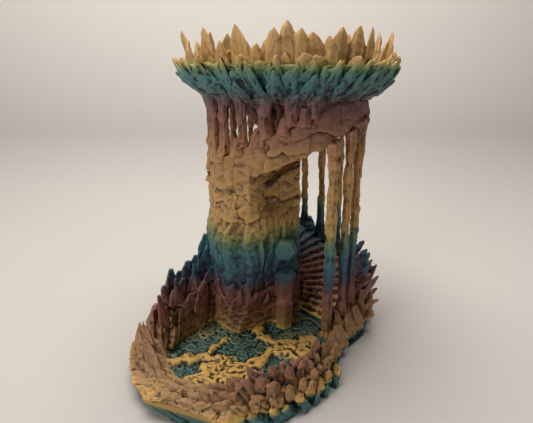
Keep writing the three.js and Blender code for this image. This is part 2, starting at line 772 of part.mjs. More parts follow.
// Three six-sided crystals that have grown against the foot of the bulkhead, each as
// [name, x, y, foot, head, radius].
const CRYSTALS = [
  ["wall_crystal_upper", 12, -35, 61.5, 90, 10],
  ["wall_crystal_middle", 12, -38, 37.5, 61, 8],
  ["wall_crystal_lower", 12, -39.5, FLOOR_TOP + GAP, 37, 6.5],
];
CRYSTALS.forEach(([name, x, y, low, high, size]) => {
  const stem = new THREE.LatheGeometry(
    [
      [0, low],
      [size * 0.7, low],
      [size, lerp(low, high, 0.35)],
      [size, lerp(low, high, 0.7)],
      [size * 0.45, high],
      [0, high],
    ].map(([r, z]) => new THREE.Vector2(r, z)),
    6,
  );
  add(name, clear(solid(stem.rotateX(Math.PI / 2).translate(x, y, 0)), /^(bulk|central)/), TEAL);
});
const underFloor =
  /^(wall_(front|west|east)|stair_flight_6|bulk|central|wall_crystal_lower|column_(18|19|20))/;
add("pool_floor", clear(poolFloor, underFloor), TEAL);

// A run of the tray's rim: a kerb with crystals on it. Each crystal is
// [angle about the tray, share across the kerb, height, width, depth, lean out, lean along, blunt].
function rimRun(from, to, height, crystals) {
  const kerb = sweep(
    (angle) => [
      [trayInner(angle) + GAP, GROUND],
      [trayOuter(angle) - 1.5, GROUND],
      [trayOuter(angle) - 2.5, height(angle) * 0.8 + 2],
      [trayInner(angle) + 4, height(angle)],
    ],
    from,
    to,
    Math.max(4, Math.round((to - from) / 11)),
    TRAY,
  );
  const row = crystals.map(([angle, across, high, width, depth, out, along, blunt]) => {
    const reach = lerp(trayInner(angle) + 2, trayOuter(angle) - 3, across);
    const foot = polar(reach, angle, SLAB + 1, TRAY);
    const tip = foot
      .clone()
      .addScaledVector(outwards(angle), out)
      .addScaledVector(sideways(angle), along)
      .setZ(high);
    return crystal(foot, tip, width, depth, sideways(angle), blunt);
  });
  return union([kerb, ...row]);
}

const leftHeight = (angle) => lerp(52, 14, clamp((angle + 220) / 75, 0, 1));
const rimLeft = rimRun(-222, -128, leftHeight, [
  [-219, 0.3, 80, 15, 9, 0, 2, 0.15],
  [-212, 0.6, 70, 16, 9, 2, -1, 0.2],
  [-206, 0.25, 65, 15, 9, 2, 3, 0.15],
  [-198, 0.6, 62, 17, 9, 3, -2, 0.2],
  [-190, 0.25, 58, 15, 8, 3, 3, 0.2],
  [-183, 0.7, 53, 17, 9, 3, 1, 0.25],
  [-174, 0.3, 52, 14, 8, 4, 2, 0.2],
  [-166, 0.7, 42, 15, 8, 6, 2, 0.15],
  [-159, 0.4, 36, 12, 7, 5, 3, 0.2],
  [-153, 0.8, 32, 15, 8, 8, 4, 0.12],
  [-144, 0.8, 25, 15, 7, 9, 8, 0.2],
  [-138, 0.4, 21, 12, 7, 6, 7, 0.2],
  [-131, 0.7, 18, 13, 7, 5, 4, 0.2],
]);
const rimFront = rimRun(-128, -62, () => 12, [
  [-126, 0.7, 17, 15, 8, 7, 10, 0.2],
  [-118, 0.5, 18, 13, 8, 3, 9, 0.2],
  [-110, 0.7, 17, 15, 8, 4, 10, 0.25],
  [-101, 0.5, 20, 14, 7, 1, 8, 0.3],
  [-92, 0.3, 23, 8, 5, -2, 2, 0.4],
  [-88, 0.7, 19, 15, 8, 3, 7, 0.3],
  [-78, 0.5, 23, 13, 8, 2, 5, 0.35],
  [-69, 0.6, 22, 12, 8, 2, 3, 0.4],
]);
const rimRight = rimRun(-62, 22, () => 12, [
  [-60, 0.2, 32, 9, 8, -2, 2, 0.55],
  [-54, 0.6, 22, 10, 8, 2, 0, 0.6],
  [-49, 0.25, 28, 10, 8, -2, 2, 0.5],
  [-43, 0.75, 19, 10, 8, 2, 1, 0.6],
  [-39, 0.2, 33, 11, 8, -1, 1, 0.5],
  [-33, 0.6, 24, 10, 8, 2, -1, 0.6],
  [-27, 0.2, 30, 10, 9, 0, 0, 0.55],
  [-21, 0.7, 20, 10, 8, 4, 0, 0.6],
  [-16, 0.3, 28, 11, 9, 1, 1, 0.55],
  [-9, 0.75, 22, 11, 8, 5, 0, 0.5],
  [-4, 0.3, 25, 12, 9, 2, 0, 0.5],
  [3, 0.75, 22, 11, 8, 6, 0, 0.45],
  [8, 0.35, 28, 14, 8, 3, 1, 0.4],
  [15, 0.7, 24, 12, 8, 6, 0, 0.4],
]);
const floorUp = (outline) => slab(outline, SLAB - OVERCUT, FLOOR_TOP + GAP);
const floorZone = floorUp(floorOutline).add(floorUp(grown(floorOutline)));
// A wedge of space about the tray's centre.
const SECTOR_SIDES = 6;
const SECTOR_REACH = 160;
const SECTOR_TOP = 130;
const sector = (from, to) => {
  const arc = Array.from({ length: SECTOR_SIDES + 1 }, (_, i) =>
    polar(SECTOR_REACH, lerp(from, to, i / SECTOR_SIDES), 0, TRAY),
  );
  return slab([TRAY, ...arc], GROUND, SECTOR_TOP);
};
const rim = (name, shape, from, to, material) =>
  add(name, shape.intersect(sector(from, to)).subtract(floorZone).subtract(wallZone), material);
rim("tray_rim_left", rimLeft, -226, -128, PURPLE);
rim("tray_rim_front", rimFront, -127.7, -62, GOLD);
rim("tray_rim_right", rimRight, -61.7, 20, GOLD);

// Boulders round the foot of the first columns, between the tray's rim and the tower, each as
// [x, y, height of the top, width, depth].
const boulders = [
  [58, -60, 22, 17.25, 15],
  [60, -46, 24, 18.4, 16.25],
  [55, -34, 30, 17.25, 15],
  [64, -30, 26, 16.1, 13.75],
  [68, -18, 28, 14.95, 13.75],
];
const BOULDER_BLUNT = 0.35;
const gate = union(
  boulders.map(([x, y, high, width, depth]) =>
    crystal(
      new THREE.Vector3(x, y, GROUND),
      new THREE.Vector3(x - 2, y + 1, high),
      width,
      depth,
      new THREE.Vector3(0.5, 1, 0).normalize(),
      BOULDER_BLUNT,
    ),
  ),
);
const postZones = COLUMNS.filter(([angle]) => angle < -5 && angle > -40).map(([angle]) => {
  const foot = polar(RING, angle, 0);
  return post(COLUMN_WIDEST + 0.8, 100, 10, foot.x, foot.y);
});
const stairZone = post(STAIR_OUT + 1, 30, 40).intersect(sector(44, 80));
add(
  "gate_boulders",
  gate
    .intersect(sector(20.3, 70))
    .subtract(floorZone)
    .subtract(wallZone)
    .subtract(stairZone)
    .subtract(union(postZones)),
  GOLD,
);

// Crystals that lean out from the tower's foot, in rows, on a skin outside the wall. Each row is
// [height, number of crystals, how far they reach out, how far they rise, width].
const SKIRT_IN = SHELL_OUT + 3;
const SKIRT_OUT = SHELL_OUT + 10;
const SKIRT_TOP = 90;
const WALL_CLEARANCE = 1.8; // between the skirt and the wall, near the wall's top
function skirt(from, to, high, rows) {
  const outline = [
    [SKIRT_IN, GROUND],
    [SKIRT_OUT, GROUND],
    [SKIRT_OUT - 1.5, high],
    [SKIRT_IN, high],
  ];
  const skin = sweep(always(outline), from, to, Math.round(Math.abs(to - from) / 7));
  const blades = rows.flatMap(([z, count, reach, rise, width], row) =>
    Array.from({ length: count }, (_, i) => {
      const angle = lerp(from, to, (i + 0.5 + 0.25 * scatter(i, row)) / count);
      const foot = polar(SKIRT_IN + 3, angle, z - 3);
      const tipRadius = SKIRT_IN + 4 + reach + 2 * scatter(i + row, 4);
      const tip = polar(tipRadius, angle, z + rise + 3 * scatter(i, row + 9));
      return crystal(foot, tip, width, width * 0.62, sideways(angle), 0.3);
    }),
  );
  const kept = block(CORE, FAR, always(GROUND), always(SKIRT_TOP), from, to, 8);
  const aboveWall = block(
    CORE,
    SKIRT_IN + WALL_CLEARANCE,
    (angle) => wallTop(angle) - 3,
    (angle) => wallTop(angle) + SKIRT_TOP,
    from + 5,
    to - 5,
    12,
  );
  return union([skin, ...blades])
    .intersect(kept)
    .subtract(aboveWall)
    .subtract(wallZone);
}
add(
  "skirt_east",
  clear(
    skirt(-305, -368, 40, [
      [13, 6, 9, 4, 10],
      [24, 6, 11, 9, 10],
      [36, 5, 9, 15, 10],
    ]),
    /^gate/,
  ),
  PURPLE,
);
add(
  "skirt_north",
  clear(
    skirt(-235, -304, 36, [
      [13, 7, 5, 9, 11],
      [30, 6, 4, 20, 11],
    ]),
    /^skirt/,
  ),
  PURPLE,
);
add(
  "skirt_west",
  clear(
    skirt(-176, -234, 36, [
      [13, 6, 8, 12, 12],
      [30, 5, 6, 26, 12],
    ]),
    /^(skirt|tray)/,
  ),
  PURPLE,
);

export default group;
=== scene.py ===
"""The finished look of a cavern dice tower, printed in rainbow filament.

Rock, dripstone and crystals are carved round the fixed frame of its CAD nodes.
Metres, +Z up, the tray towards -Y.
"""

import itertools
import math

import bpy
import numpy as np
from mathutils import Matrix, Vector


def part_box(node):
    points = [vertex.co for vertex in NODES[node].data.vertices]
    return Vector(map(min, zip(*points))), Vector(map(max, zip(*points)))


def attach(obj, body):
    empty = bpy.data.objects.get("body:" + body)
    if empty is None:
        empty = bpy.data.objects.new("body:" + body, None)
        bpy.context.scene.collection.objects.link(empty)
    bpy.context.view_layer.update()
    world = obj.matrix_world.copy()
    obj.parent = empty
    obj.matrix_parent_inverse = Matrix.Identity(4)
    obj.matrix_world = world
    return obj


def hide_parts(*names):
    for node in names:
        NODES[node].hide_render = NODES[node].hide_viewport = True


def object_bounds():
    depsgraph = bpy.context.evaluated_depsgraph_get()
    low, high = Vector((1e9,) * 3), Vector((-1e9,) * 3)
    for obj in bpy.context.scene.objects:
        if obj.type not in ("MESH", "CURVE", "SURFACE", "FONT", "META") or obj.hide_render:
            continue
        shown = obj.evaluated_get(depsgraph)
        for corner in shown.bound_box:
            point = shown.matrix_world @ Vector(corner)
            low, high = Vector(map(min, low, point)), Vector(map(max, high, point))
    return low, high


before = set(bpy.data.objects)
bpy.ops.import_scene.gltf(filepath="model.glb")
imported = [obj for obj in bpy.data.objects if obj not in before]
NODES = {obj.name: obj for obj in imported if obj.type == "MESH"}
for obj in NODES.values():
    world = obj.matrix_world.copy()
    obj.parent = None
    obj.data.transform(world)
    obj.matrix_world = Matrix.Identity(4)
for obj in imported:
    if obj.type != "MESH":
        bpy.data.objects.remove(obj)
cad_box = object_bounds()

MM = 0.001
BODY = "root"

# ---- Sizes worked out from the frame ------------------------------------------------------------
SLAB_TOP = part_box("base_slab")[1][2]
FLOOR_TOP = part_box("pool_floor")[1][2]
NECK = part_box("crown_bowl")[0][2]
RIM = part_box("crown_bowl")[1][2]
RIM_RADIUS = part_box("crown_bowl")[1][0]
BOWL_OVERHANG = 22 * MM  # how far the crown's rim stands out past its neck
NECK_RADIUS = RIM_RADIUS - BOWL_OVERHANG
TOP = max(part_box(name)[1][2] for name in NODES if name.startswith("crown_crystals"))
VIEW_AZIMUTH = 20.5  # the camera's turn about the object, in degrees
FULL_HEIGHT = 0.25  # the colour bands are spaced along this height
VOXEL = 0.8 * MM
FINE_VOXEL = 0.5 * MM


# ---- Noise --------------------------------------------------------------------------------------
def lattice(ix, iy, iz, seed):
    """A repeatable number from 0 to 1 for each point of a whole-number grid."""
    h = ix.astype(np.uint32) * np.uint32(374761393) + iy.astype(np.uint32) * np.uint32(668265263)
    h += iz.astype(np.uint32) * np.uint32(2246822519) + np.uint32(seed * 3266489917 % 2**32)
    h = (h ^ (h >> np.uint32(13))) * np.uint32(1274126177)
    h = (h ^ (h >> np.uint32(15))) * np.uint32(2654435761)
    return ((h ^ (h >> np.uint32(16))) & np.uint32(0xFFFFFF)).astype(np.float32) / np.float32(0xFFFFFF)


def noise(points, size, seed=0):
    """Smooth noise from -1 to 1. size is its grain in metres, as one number or one for each axis."""
    q = points / np.asarray(size, dtype=np.float32)
    base = np.floor(q)
    f = q - base
    f = f * f * (3 - 2 * f)
    i = base.astype(np.int64)
    total = 0
    for corner in itertools.product((0, 1), repeat=3):
        weight = 1
        for axis, step in enumerate(corner):
            weight = weight * (f[:, axis] if step else 1 - f[:, axis])
        at = i + np.array(corner)
        total = total + weight * lattice(at[:, 0], at[:, 1], at[:, 2], seed)
    return 2 * total - 1


def rough(points, size, octaves=3, seed=0):
    """Several grains of noise on top of each other, each half the size and strength of the last."""
    size = np.asarray(size, dtype=np.float32)
    return sum(noise(points, size / 2**k, seed + k) / 2**k for k in range(octaves))


def cells(points, size, seed=0):
    """The nearest of a cloud of random points.

    Gives the distance to it and the way to it, both in cells, and three random numbers of its own."""
    q = (points / np.asarray(size, dtype=np.float32)).astype(np.float32)
    base = np.floor(q).astype(np.int64)
    count = len(q)
    near = np.full(count, np.inf, dtype=np.float32)
    way = np.zeros((count, 3), dtype=np.float32)
    tag = np.zeros((count, 3), dtype=np.float32)
    for step in itertools.product((-1, 0, 1), repeat=3):
        cell = base + np.array(step)
        own = np.stack([lattice(cell[:, 0], cell[:, 1], cell[:, 2], seed + k) for k in range(3)], axis=1)
        gap = cell + own - q
        distance = np.sqrt((gap**2).sum(axis=1))
        closer = distance < near
        near = np.where(closer, distance, near)
        way[closer] = gap[closer]
        tag[closer] = own[closer]
    return near, way, tag


def ease(x, low, high):
    """0 below low, 1 above high, smooth between them."""
    t = np.clip((x - low) / (high - low), 0, 1)
    return t * t * (3 - 2 * t)


# ---- Meshes -------------------------------------------------------------------------------------
def read_vectors(items, key):
    out = np.empty(len(items) * 3, dtype=np.float32)
    items.foreach_get(key, out)
    return out.reshape(-1, 3)


def coordinates(mesh):
    return read_vectors(mesh.vertices, "co")


def normals(mesh):
    return read_vectors(mesh.vertex_normals, "vector")


def set_coordinates(mesh, points):
    mesh.vertices.foreach_set("co", np.ascontiguousarray(points, dtype=np.float32).ravel())
    mesh.update()


def node_solid(name):
    mesh = NODES[name].data
    return coordinates(mesh), [tuple(p.vertices) for p in mesh.polygons]


def joined(solids):
    """One list of vertices and faces from several solids."""
    points, faces, start = [], [], 0
    for vertices, polygons in solids:
        points.append(np.asarray(vertices, dtype=np.float32).reshape(-1, 3))
        faces += [tuple(i + start for i in polygon) for polygon in polygons]
        start += len(points[-1])
    return np.concatenate(points), faces


def added(name, data):
    """A new object in the scene."""
    obj = bpy.data.objects.new(name, data)
    bpy.context.scene.collection.objects.link(obj)
    return obj


def piece(name, solids):
    points, faces = joined(solids)
    mesh = bpy.data.meshes.new(name)
    mesh.from_pydata(points.tolist(), [], faces)
    mesh.update()
    return added(name, mesh)


def fused(name, solids, voxel):
    """A piece whose solids are melted into one skin of even small faces, ready to be carved."""
    obj = piece(name, solids)
    remesh = obj.modifiers.new("skin", "REMESH")
    remesh.mode = "VOXEL"
    remesh.voxel_size = voxel
    graph = bpy.context.evaluated_depsgraph_get()
    skin = bpy.data.meshes.new_from_object(obj.evaluated_get(graph))
    obj.modifiers.clear()
    coarse = obj.data
    obj.data = skin
    bpy.data.meshes.remove(coarse)
    skin.name = name
    return obj


def carve(obj, depth):
    """Moves each vertex along its normal by depth(points, normals), in metres."""
    mesh = obj.data
    points, outward = coordinates(mesh), normals(mesh)
    set_coordinates(mesh, points + outward * depth(points, outward)[:, None])


def relax(obj, rounds):
    """Softens a mesh: in each round every vertex goes half of the way to the middle of its neighbours."""
    mesh = obj.data
    points = coordinates(mesh)
    for _ in range(rounds):
        points = points + 0.5 * (neighbour_mean(mesh, points) - points)
    set_coordinates(mesh, points)


def neighbour_mean(mesh, values):
    """The mean of a value over the vertices that share an edge with each vertex."""
    edges = np.empty(len(mesh.edges) * 2, dtype=np.int32)
    mesh.edges.foreach_get("vertices", edges)
    a, b = edges[0::2], edges[1::2]
    count = len(mesh.vertices)
    degree = np.maximum(np.bincount(a, minlength=count) + np.bincount(b, minlength=count), 1)
    columns = []
    for column in values.T:
        from_b = np.bincount(a, weights=column[b], minlength=count)
        from_a = np.bincount(b, weights=column[a], minlength=count)
        columns.append(from_b + from_a)
    return (np.stack(columns, axis=1) / degree[:, None]).astype(np.float32)


# Smoothing for the crevice attribute, from which the material paints shade in crevices and highlights on
# edges.
FINE_ROUNDS = 5  # rounds of smoothing that show up the small crevices
BROAD_ROUNDS = 22  # and the broad ones
BROAD_SHARE = 0.6


def mark_crevices_for_painted_shade(obj, scale):
    """Stores how hollow the surface is at each vertex: 0 deep in a crevice, 0.5 flat, 1 on a sharp edge.
    The material paints shade and highlights from it.
    """
    mesh = obj.data
    points, outward = coordinates(mesh), normals(mesh)
    smooth = points
    for _ in range(FINE_ROUNDS):
        smooth = neighbour_mean(mesh, smooth)
    fine = ((points - smooth) * outward).sum(axis=1)
    for _ in range(BROAD_ROUNDS - FINE_ROUNDS):
        smooth = neighbour_mean(mesh, smooth)
    broad = ((points - smooth) * outward).sum(axis=1)
    value = np.clip(0.5 + 0.5 * (fine + BROAD_SHARE * broad) / scale, 0, 1).astype(np.float32)
    attribute = mesh.attributes.new("crevice", "FLOAT", "POINT")
    attribute.data.foreach_set("value", value)


def finish_piece(obj, material, nodes=(), scale=0.6 * MM):
    """Gives a piece its material and its place in the frame. scale is the depth of a crevice that gets the
    full painted shade.
    """
    mark_crevices_for_painted_shade(obj, scale)
    obj.data.materials.clear()
    obj.data.materials.append(material)
    obj.data.polygons.foreach_set("use_smooth", [True] * len(obj.data.polygons))
    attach(obj, BODY)
    if nodes:
        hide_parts(*nodes)


def keep_inside(obj):
    """Holds a piece inside the box of the CAD model, so that carving never makes the object bigger."""
    low, high = (np.array(corner, dtype=np.float32) for corner in cad_box)
    set_coordinates(obj.data, np.clip(coordinates(obj.data), low, high))


# ---- Blades -------------------------------------------------------------------------------------
def unit(v):
    return v / np.maximum(np.linalg.norm(v, axis=-1, keepdims=True), 1e-9)


def around(radius, angle, z, centre=(0, 0)):
    """A point round an upright axis. The angle is in degrees."""
    a = math.radians(angle)
    return np.array([centre[0] + radius * math.cos(a), centre[1] + radius * math.sin(a), z])


def spread(i, k=0):
    """A repeatable number from -1 to 1."""
    s = math.sin(i * 12.9898 + k * 78.233) * 43758.5453
    return 2 * (s - math.floor(s)) - 1


def tube_faces(rings, sides):
    """Faces that join a row of rings, each of the same number of points, and close both ends."""
    faces = []
    for i in range(rings - 1):
        for j in range(sides):
            k = (j + 1) % sides
            faces.append((i * sides + j, i * sides + k, (i + 1) * sides + k, (i + 1) * sides + j))
    faces.append(tuple(range(sides - 1, -1, -1)))
    faces.append(tuple((rings - 1) * sides + j for j in range(sides)))
    return faces


# A blade's section: a flat front with a bevel to each edge, and a ridge behind.
SECTION = [(-1, 0), (-0.5, 0.8), (0.4, 1), (1, 0), (0.1, -0.6)]
WOBBLE = 0.14  # how unevenly a blade's edges run


def blade(path, widths, depths, facing, seed=0):
    """A blade along a path. facing is the direction of its front at each point of the path."""
    path = np.asarray(path, dtype=float)
    along = unit(np.gradient(path, axis=0))
    facing = np.asarray(facing, dtype=float)
    if facing.ndim == 1:
        facing = np.tile(facing, (len(path), 1))
    across = unit(np.cross(facing, along))
    front = unit(np.cross(along, across))
    rings = []
    for i, centre in enumerate(path):
        for j, (s, d) in enumerate(SECTION):
            wobble = 1 + WOBBLE * spread(seed * 17 + i, j + 3)
            aside = across[i] * s * widths[i] / 2 * wobble
            rings.append(centre + aside + front[i] * d * depths[i] * wobble)
    return np.array(rings), tube_faces(len(path), len(SECTION))


# How the width of a shard changes from its foot to its tip: a broad leaf, a prism, or a blunt slab.
# Each is the shares of the way and the shares of the full width.
LEAF = ([0, 0.25, 0.5, 0.7, 0.84, 0.94, 1], [0.85, 1, 0.97, 0.82, 0.58, 0.32, 0.1])
PRISM = ([0, 0.3, 0.65, 0.82, 0.93, 1], [0.85, 1, 0.94, 0.7, 0.4, 0.1])
BLUNT = ([0, 0.3, 0.7, 0.88, 1], [0.9, 1, 0.94, 0.78, 0.36])


RINGS = 9  # rings of points along a crystal or a leaf


def shard(foot, tip, width, depth, facing, seed=0, shape=LEAF, bow=0.0):
    """A knife-like crystal from foot to tip. It bows towards facing, which is where its front points."""
    foot, tip, facing = (np.asarray(v, dtype=float) for v in (foot, tip, facing))
    t = np.linspace(0, 1, RINGS)
    swell = np.interp(t, *shape)
    path = foot + (tip - foot) * t[:, None] + facing * bow * np.sin(np.pi * t)[:, None]
    return blade(path, swell * width, swell**0.7 * depth, facing, seed)


# ---- Materials ----------------------------------------------------------------------------------
# The filament's colour by height in millimetres. A print changes colour with height alone.
BANDS = [
    (0, (0.05, 0.15, 0.17)),
    (8.2, (0.06, 0.165, 0.16)),
    (9.2, (0.15, 0.20, 0.10)),
    (10.4, (0.56, 0.34, 0.09)),
    (12.6, (0.62, 0.36, 0.10)),
    (14.5, (0.38, 0.215, 0.085)),
    (24, (0.29, 0.15, 0.07)),
    (30, (0.25, 0.115, 0.066)),
    (40, (0.25, 0.10, 0.078)),
    (49, (0.16, 0.08, 0.085)),
    (55, (0.055, 0.08, 0.12)),
    (65, (0.04, 0.11, 0.155)),
    (78, (0.05, 0.16, 0.185)),
    (86, (0.10, 0.20, 0.14)),
    (92, (0.25, 0.27, 0.10)),
    (98, (0.44, 0.32, 0.11)),
    (105, (0.54, 0.32, 0.11)),
    (140, (0.52, 0.30, 0.115)),
    (156, (0.46, 0.25, 0.105)),
    (168, (0.37, 0.18, 0.10)),
    (180, (0.28, 0.125, 0.095)),
    (190, (0.20, 0.10, 0.095)),
    (196, (0.11, 0.115, 0.125)),
    (201, (0.065, 0.16, 0.18)),
    (209, (0.075, 0.21, 0.205)),
    (213.5, (0.13, 0.24, 0.16)),
    (216.5, (0.33, 0.33, 0.13)),
    (219, (0.56, 0.38, 0.14)),
    (224, (0.64, 0.385, 0.15)),
    (245, (0.68, 0.415, 0.175)),
]


LAYER = 0.2 * MM  # height of a printed layer
BLOTCH = 14 * MM  # size of the faint blotches in shade and gloss
BLOTCH_SHADE = (0.78, 1.2)


def fill_ramp(ramp, stops):
    """Gives a colour ramp its stops: (place, colour) from left to right."""
    elements = ramp.color_ramp.elements
    while len(elements) < len(stops):
        elements.new(0.5)
    for element, (place, colour) in zip(elements, stops):
        element.position = place
        element.color = (*colour, 1)


def printed_plastic(name, grain=0.9 * MM, roughness=0.46, dark=0.07, middle=0.46, edge=1.28):
    """Satin filament: colour by height, painted shade in crevices, painted highlights on edges, and fine
    printed layers.

    dark and middle are the painted shade deep in a crevice and half-way up it, and edge is the painted
    highlight on an edge."""
    material = bpy.data.materials.new(name)
    material.use_nodes = True
    tree = material.node_tree
    tree.nodes.clear()

    def node(kind, **settings):
        made = tree.nodes.new(kind)
        for key, value in settings.items():
            setattr(made, key, value)
        return made

    def link(start, end):
        tree.links.new(start, end)

    def math_node(operation, a, b=None):
        made = node("ShaderNodeMath", operation=operation)
        for socket, value in zip(made.inputs, (a, b)):
            if value is None:
                continue
            if isinstance(value, (int, float)):
                socket.default_value = value
            else:
                link(value, socket)
        return made.outputs[0]

    place = node("ShaderNodeTexCoord")
    split = node("ShaderNodeSeparateXYZ")
    link(place.outputs["Object"], split.inputs[0])
    height = split.outputs["Z"]

    ramp = node("ShaderNodeValToRGB")
    fill_ramp(ramp, [(z * MM / FULL_HEIGHT, colour) for z, colour in BANDS])
    link(math_node("DIVIDE", height, FULL_HEIGHT), ramp.inputs[0])

    blotch = node("ShaderNodeTexNoise")
    blotch.inputs["Scale"].default_value = 1 / BLOTCH
    blotch.inputs["Detail"].default_value = 5
    link(place.outputs["Object"], blotch.inputs["Vector"])
    shade = node("ShaderNodeMapRange")
    shade.inputs["To Min"].default_value, shade.inputs["To Max"].default_value = BLOTCH_SHADE
    link(blotch.outputs["Fac"], shade.inputs["Value"])

    # Painted shade deep in crevices and a painted highlight on edges, from the crevice attribute,
    # multiplied with the random blotches.
    crevice = node("ShaderNodeAttribute", attribute_name="crevice")
    hollow = node("ShaderNodeValToRGB")
    painted_shade_stops = [(0.08, dark), (0.38, middle), (0.55, 0.82), (0.85, 1.0)]
    fill_ramp(hollow, [(at, (value, value, value)) for at, value in painted_shade_stops])
    link(crevice.outputs["Fac"], hollow.inputs[0])
    light = math_node("MULTIPLY", math_node("MULTIPLY", hollow.outputs[0], edge), shade.outputs[0])

    tint = node("ShaderNodeMix", data_type="RGBA", blend_type="MULTIPLY")
    tint.inputs["Factor"].default_value = 1
    link(ramp.outputs[0], tint.inputs["A"])
    link(light, tint.inputs["B"])

    shader = node("ShaderNodeBsdfPrincipled")
    link(tint.outputs["Result"], shader.inputs["Base Color"])
    shader.inputs["Specular IOR Level"].default_value = 0.45
    gloss = node("ShaderNodeMapRange")
    gloss.inputs["To Min"].default_value = roughness - 0.1
    gloss.inputs["To Max"].default_value = roughness + 0.14
    link(blotch.outputs["Fac"], gloss.inputs["Value"])
    link(gloss.outputs[0], shader.inputs["Roughness"])

    grains = node("ShaderNodeTexNoise")
    grains.inputs["Scale"].default_value = 1 / grain
    grains.inputs["Detail"].default_value = 3
    link(place.outputs["Object"], grains.inputs["Vector"])
    lines = math_node("SINE", math_node("MULTIPLY", height, 2 * math.pi / LAYER))
    coarse = math_node("MULTIPLY", grains.outputs["Fac"], 1.6)
    relief = math_node("ADD", coarse, math_node("MULTIPLY", lines, 0.12))
    bump = node("ShaderNodeBump")
    bump.inputs["Strength"].default_value = 0.6
    bump.inputs["Distance"].default_value = 0.25 * MM
    link(relief, bump.inputs["Height"])
    link(bump.outputs["Normal"], shader.inputs["Normal"])

    output = node("ShaderNodeOutputMaterial")
    link(shader.outputs[0], output.inputs["Surface"])
    return material


# dark, middle and edge set each material's painted shade in crevices and painted highlight on edges.
ROCK = printed_plastic("printed_rock")
STONE = printed_plastic("printed_dripstone", grain=1.4 * MM, roughness=0.46)
CRYSTAL = printed_plastic("printed_crystal", grain=1.8 * MM, roughness=0.42, dark=0.3, edge=1.3)
STAIR = printed_plastic("printed_stair", grain=1.4 * MM, dark=0.12, edge=1.9)
POOL = printed_plastic("printed_pools", grain=1.1 * MM, roughness=0.36, dark=0.04, middle=0.3, edge=1.35)
LEAVES = printed_plastic("printed_leaves", dark=0.03, middle=0.24, edge=1.2)


# ---- Rock textures as depths --------------------------------------------------------------------
def warped(points, size, amount, seed):
    shift = np.stack([noise(points, size, seed + k) for k in range(3)], axis=1)
    return points + shift * amount


def plates(points, size, depth, seed, lean=(0.0, 0.0, 0.6), tilt=0.9):
    """Broken rock. Each cell is a facet of its own tilt. Most lean the same way, and lap over the next."""
    _, way, tag = cells(warped(points, 9 * MM, 2.6 * MM, seed), size, seed)
    slope = (way * ((2 * tag - 1) * tilt + np.array(lean, dtype=np.float32))).sum(axis=1)
    return depth * (slope + 0.5 * (tag[:, 0] - 0.5))


def drapery(points, pitch, drop, seed):
    """Folds that hang down a wall: narrow across, long downwards, with sharp edges."""
    wave = warped(points, 22 * MM, 5 * MM, seed)
    folds = noise(wave, (pitch, pitch, drop), seed + 11)
    fine = noise(wave, (pitch * 0.45, pitch * 0.45, drop * 0.5), seed + 17)
    return 1 - 2 * np.abs(folds) ** 0.8 + 0.45 * fine


LIP = 104 * MM  # height of the lip in the wall over the crystals
HOLLOW = 8  # depth of the hollow above it, in millimetres
UPPER_WALL = (92 * MM, 118 * MM)  # heights between which the upper wall's lapping plates begin
LOWER_WALL = (48 * MM, 72 * MM)  # heights between which the lower wall's scallops end
FRINGE = (26 * MM, 38 * MM)  # heights between which its blocks turn into scallops
BANISTER = (120 * MM, 132 * MM)  # heights between which the smooth fascia begins


PROW_FOOT = 30 * MM  # the front wall's edge is measured below this height
PROW_END = (100 * MM, 125 * MM)  # heights between which the blunting of it ends
CHAMFER = 3.2 * MM


def blunt_prow(obj):
    """Takes the sharp upright edge off the foot of the front wall, so that its face is broad."""
    yaw = math.radians(VIEW_AZIMUTH)
    forward = np.array([math.sin(yaw), -math.cos(yaw), 0], dtype=np.float32)
    foot = coordinates(NODES["wall_front"].data)
    limit = (foot[foot[:, 2] < PROW_FOOT] @ forward).max() - CHAMFER
    points = coordinates(obj.data)
    over = np.maximum(points @ forward - limit, 0) * (1 - ease(points[:, 2], *PROW_END))
    set_coordinates(obj.data, points - 0.8 * over[:, None] * forward)


def cave_wall_depth(points, outward):
    z = points[:, 2]
    steep = 1 - np.abs(outward[:, 2])
    upper = ease(z, *UPPER_WALL)
    lower = 1 - ease(z, *LOWER_WALL)
    middle = 1 - np.maximum(upper, lower)
    turn = np.degrees(np.arctan2(points[:, 1], points[:, 0]))
    reach = np.hypot(points[:, 0], points[:, 1])
    # The fascia beside the stair is smoother than the wall under it.
    banister = ease(z - tread_height(turn), -9 * MM, -3 * MM) * ease(z, *BANISTER)
    banister = banister * ease(reach, 50 * MM, 56 * MM)
    rugged = 1 - banister
    shingle = plates(points, (17 * MM, 17 * MM, 13 * MM), 1.5 * MM, 3)
    facets = plates(points, (17 * MM, 17 * MM, 15 * MM), 1.5 * MM, 12, lean=(0.3, 0.3, 0.5), tilt=0.6)
    chips = plates(points, (7 * MM, 7 * MM, 4.5 * MM), 0.4 * MM, 4)
    hung = drapery(points, 7 * MM, 26 * MM, 5) * 2.1 * MM
    scallops = plates(points, (7 * MM, 7 * MM, 15 * MM), 2.0 * MM, 8, lean=(0, 0, -1.2))
    blocks = plates(points, (8 * MM, 8 * MM, 4.5 * MM), 1.2 * MM, 10)
    swell = rough(points, 26 * MM, 2, 21) * (0.5 + 1.3 * rugged) * MM
    fine = rough(points, (3.4 * MM, 3.4 * MM, 2.6 * MM), 3, 31) * (0.12 + 0.28 * rugged) * MM
    fringe = lower * ease(z, *FRINGE)
    carved = upper * (rugged * (shingle + chips) + banister * facets)
    carved = carved + middle * (0.9 * hung + 0.3 * shingle + chips)
    carved = carved + fringe * scallops + (lower - fringe) * blocks
    # The wall is hollowed out above the lip, on its side next to the stair.
    hollow = ease(z, LIP - 4 * MM, LIP + 14 * MM) * (1 - ease(reach, 40 * MM, 60 * MM)) * HOLLOW * MM
    return (carved + swell) * (0.35 + 0.65 * steep) + fine - 0.3 * MM - hollow * steep


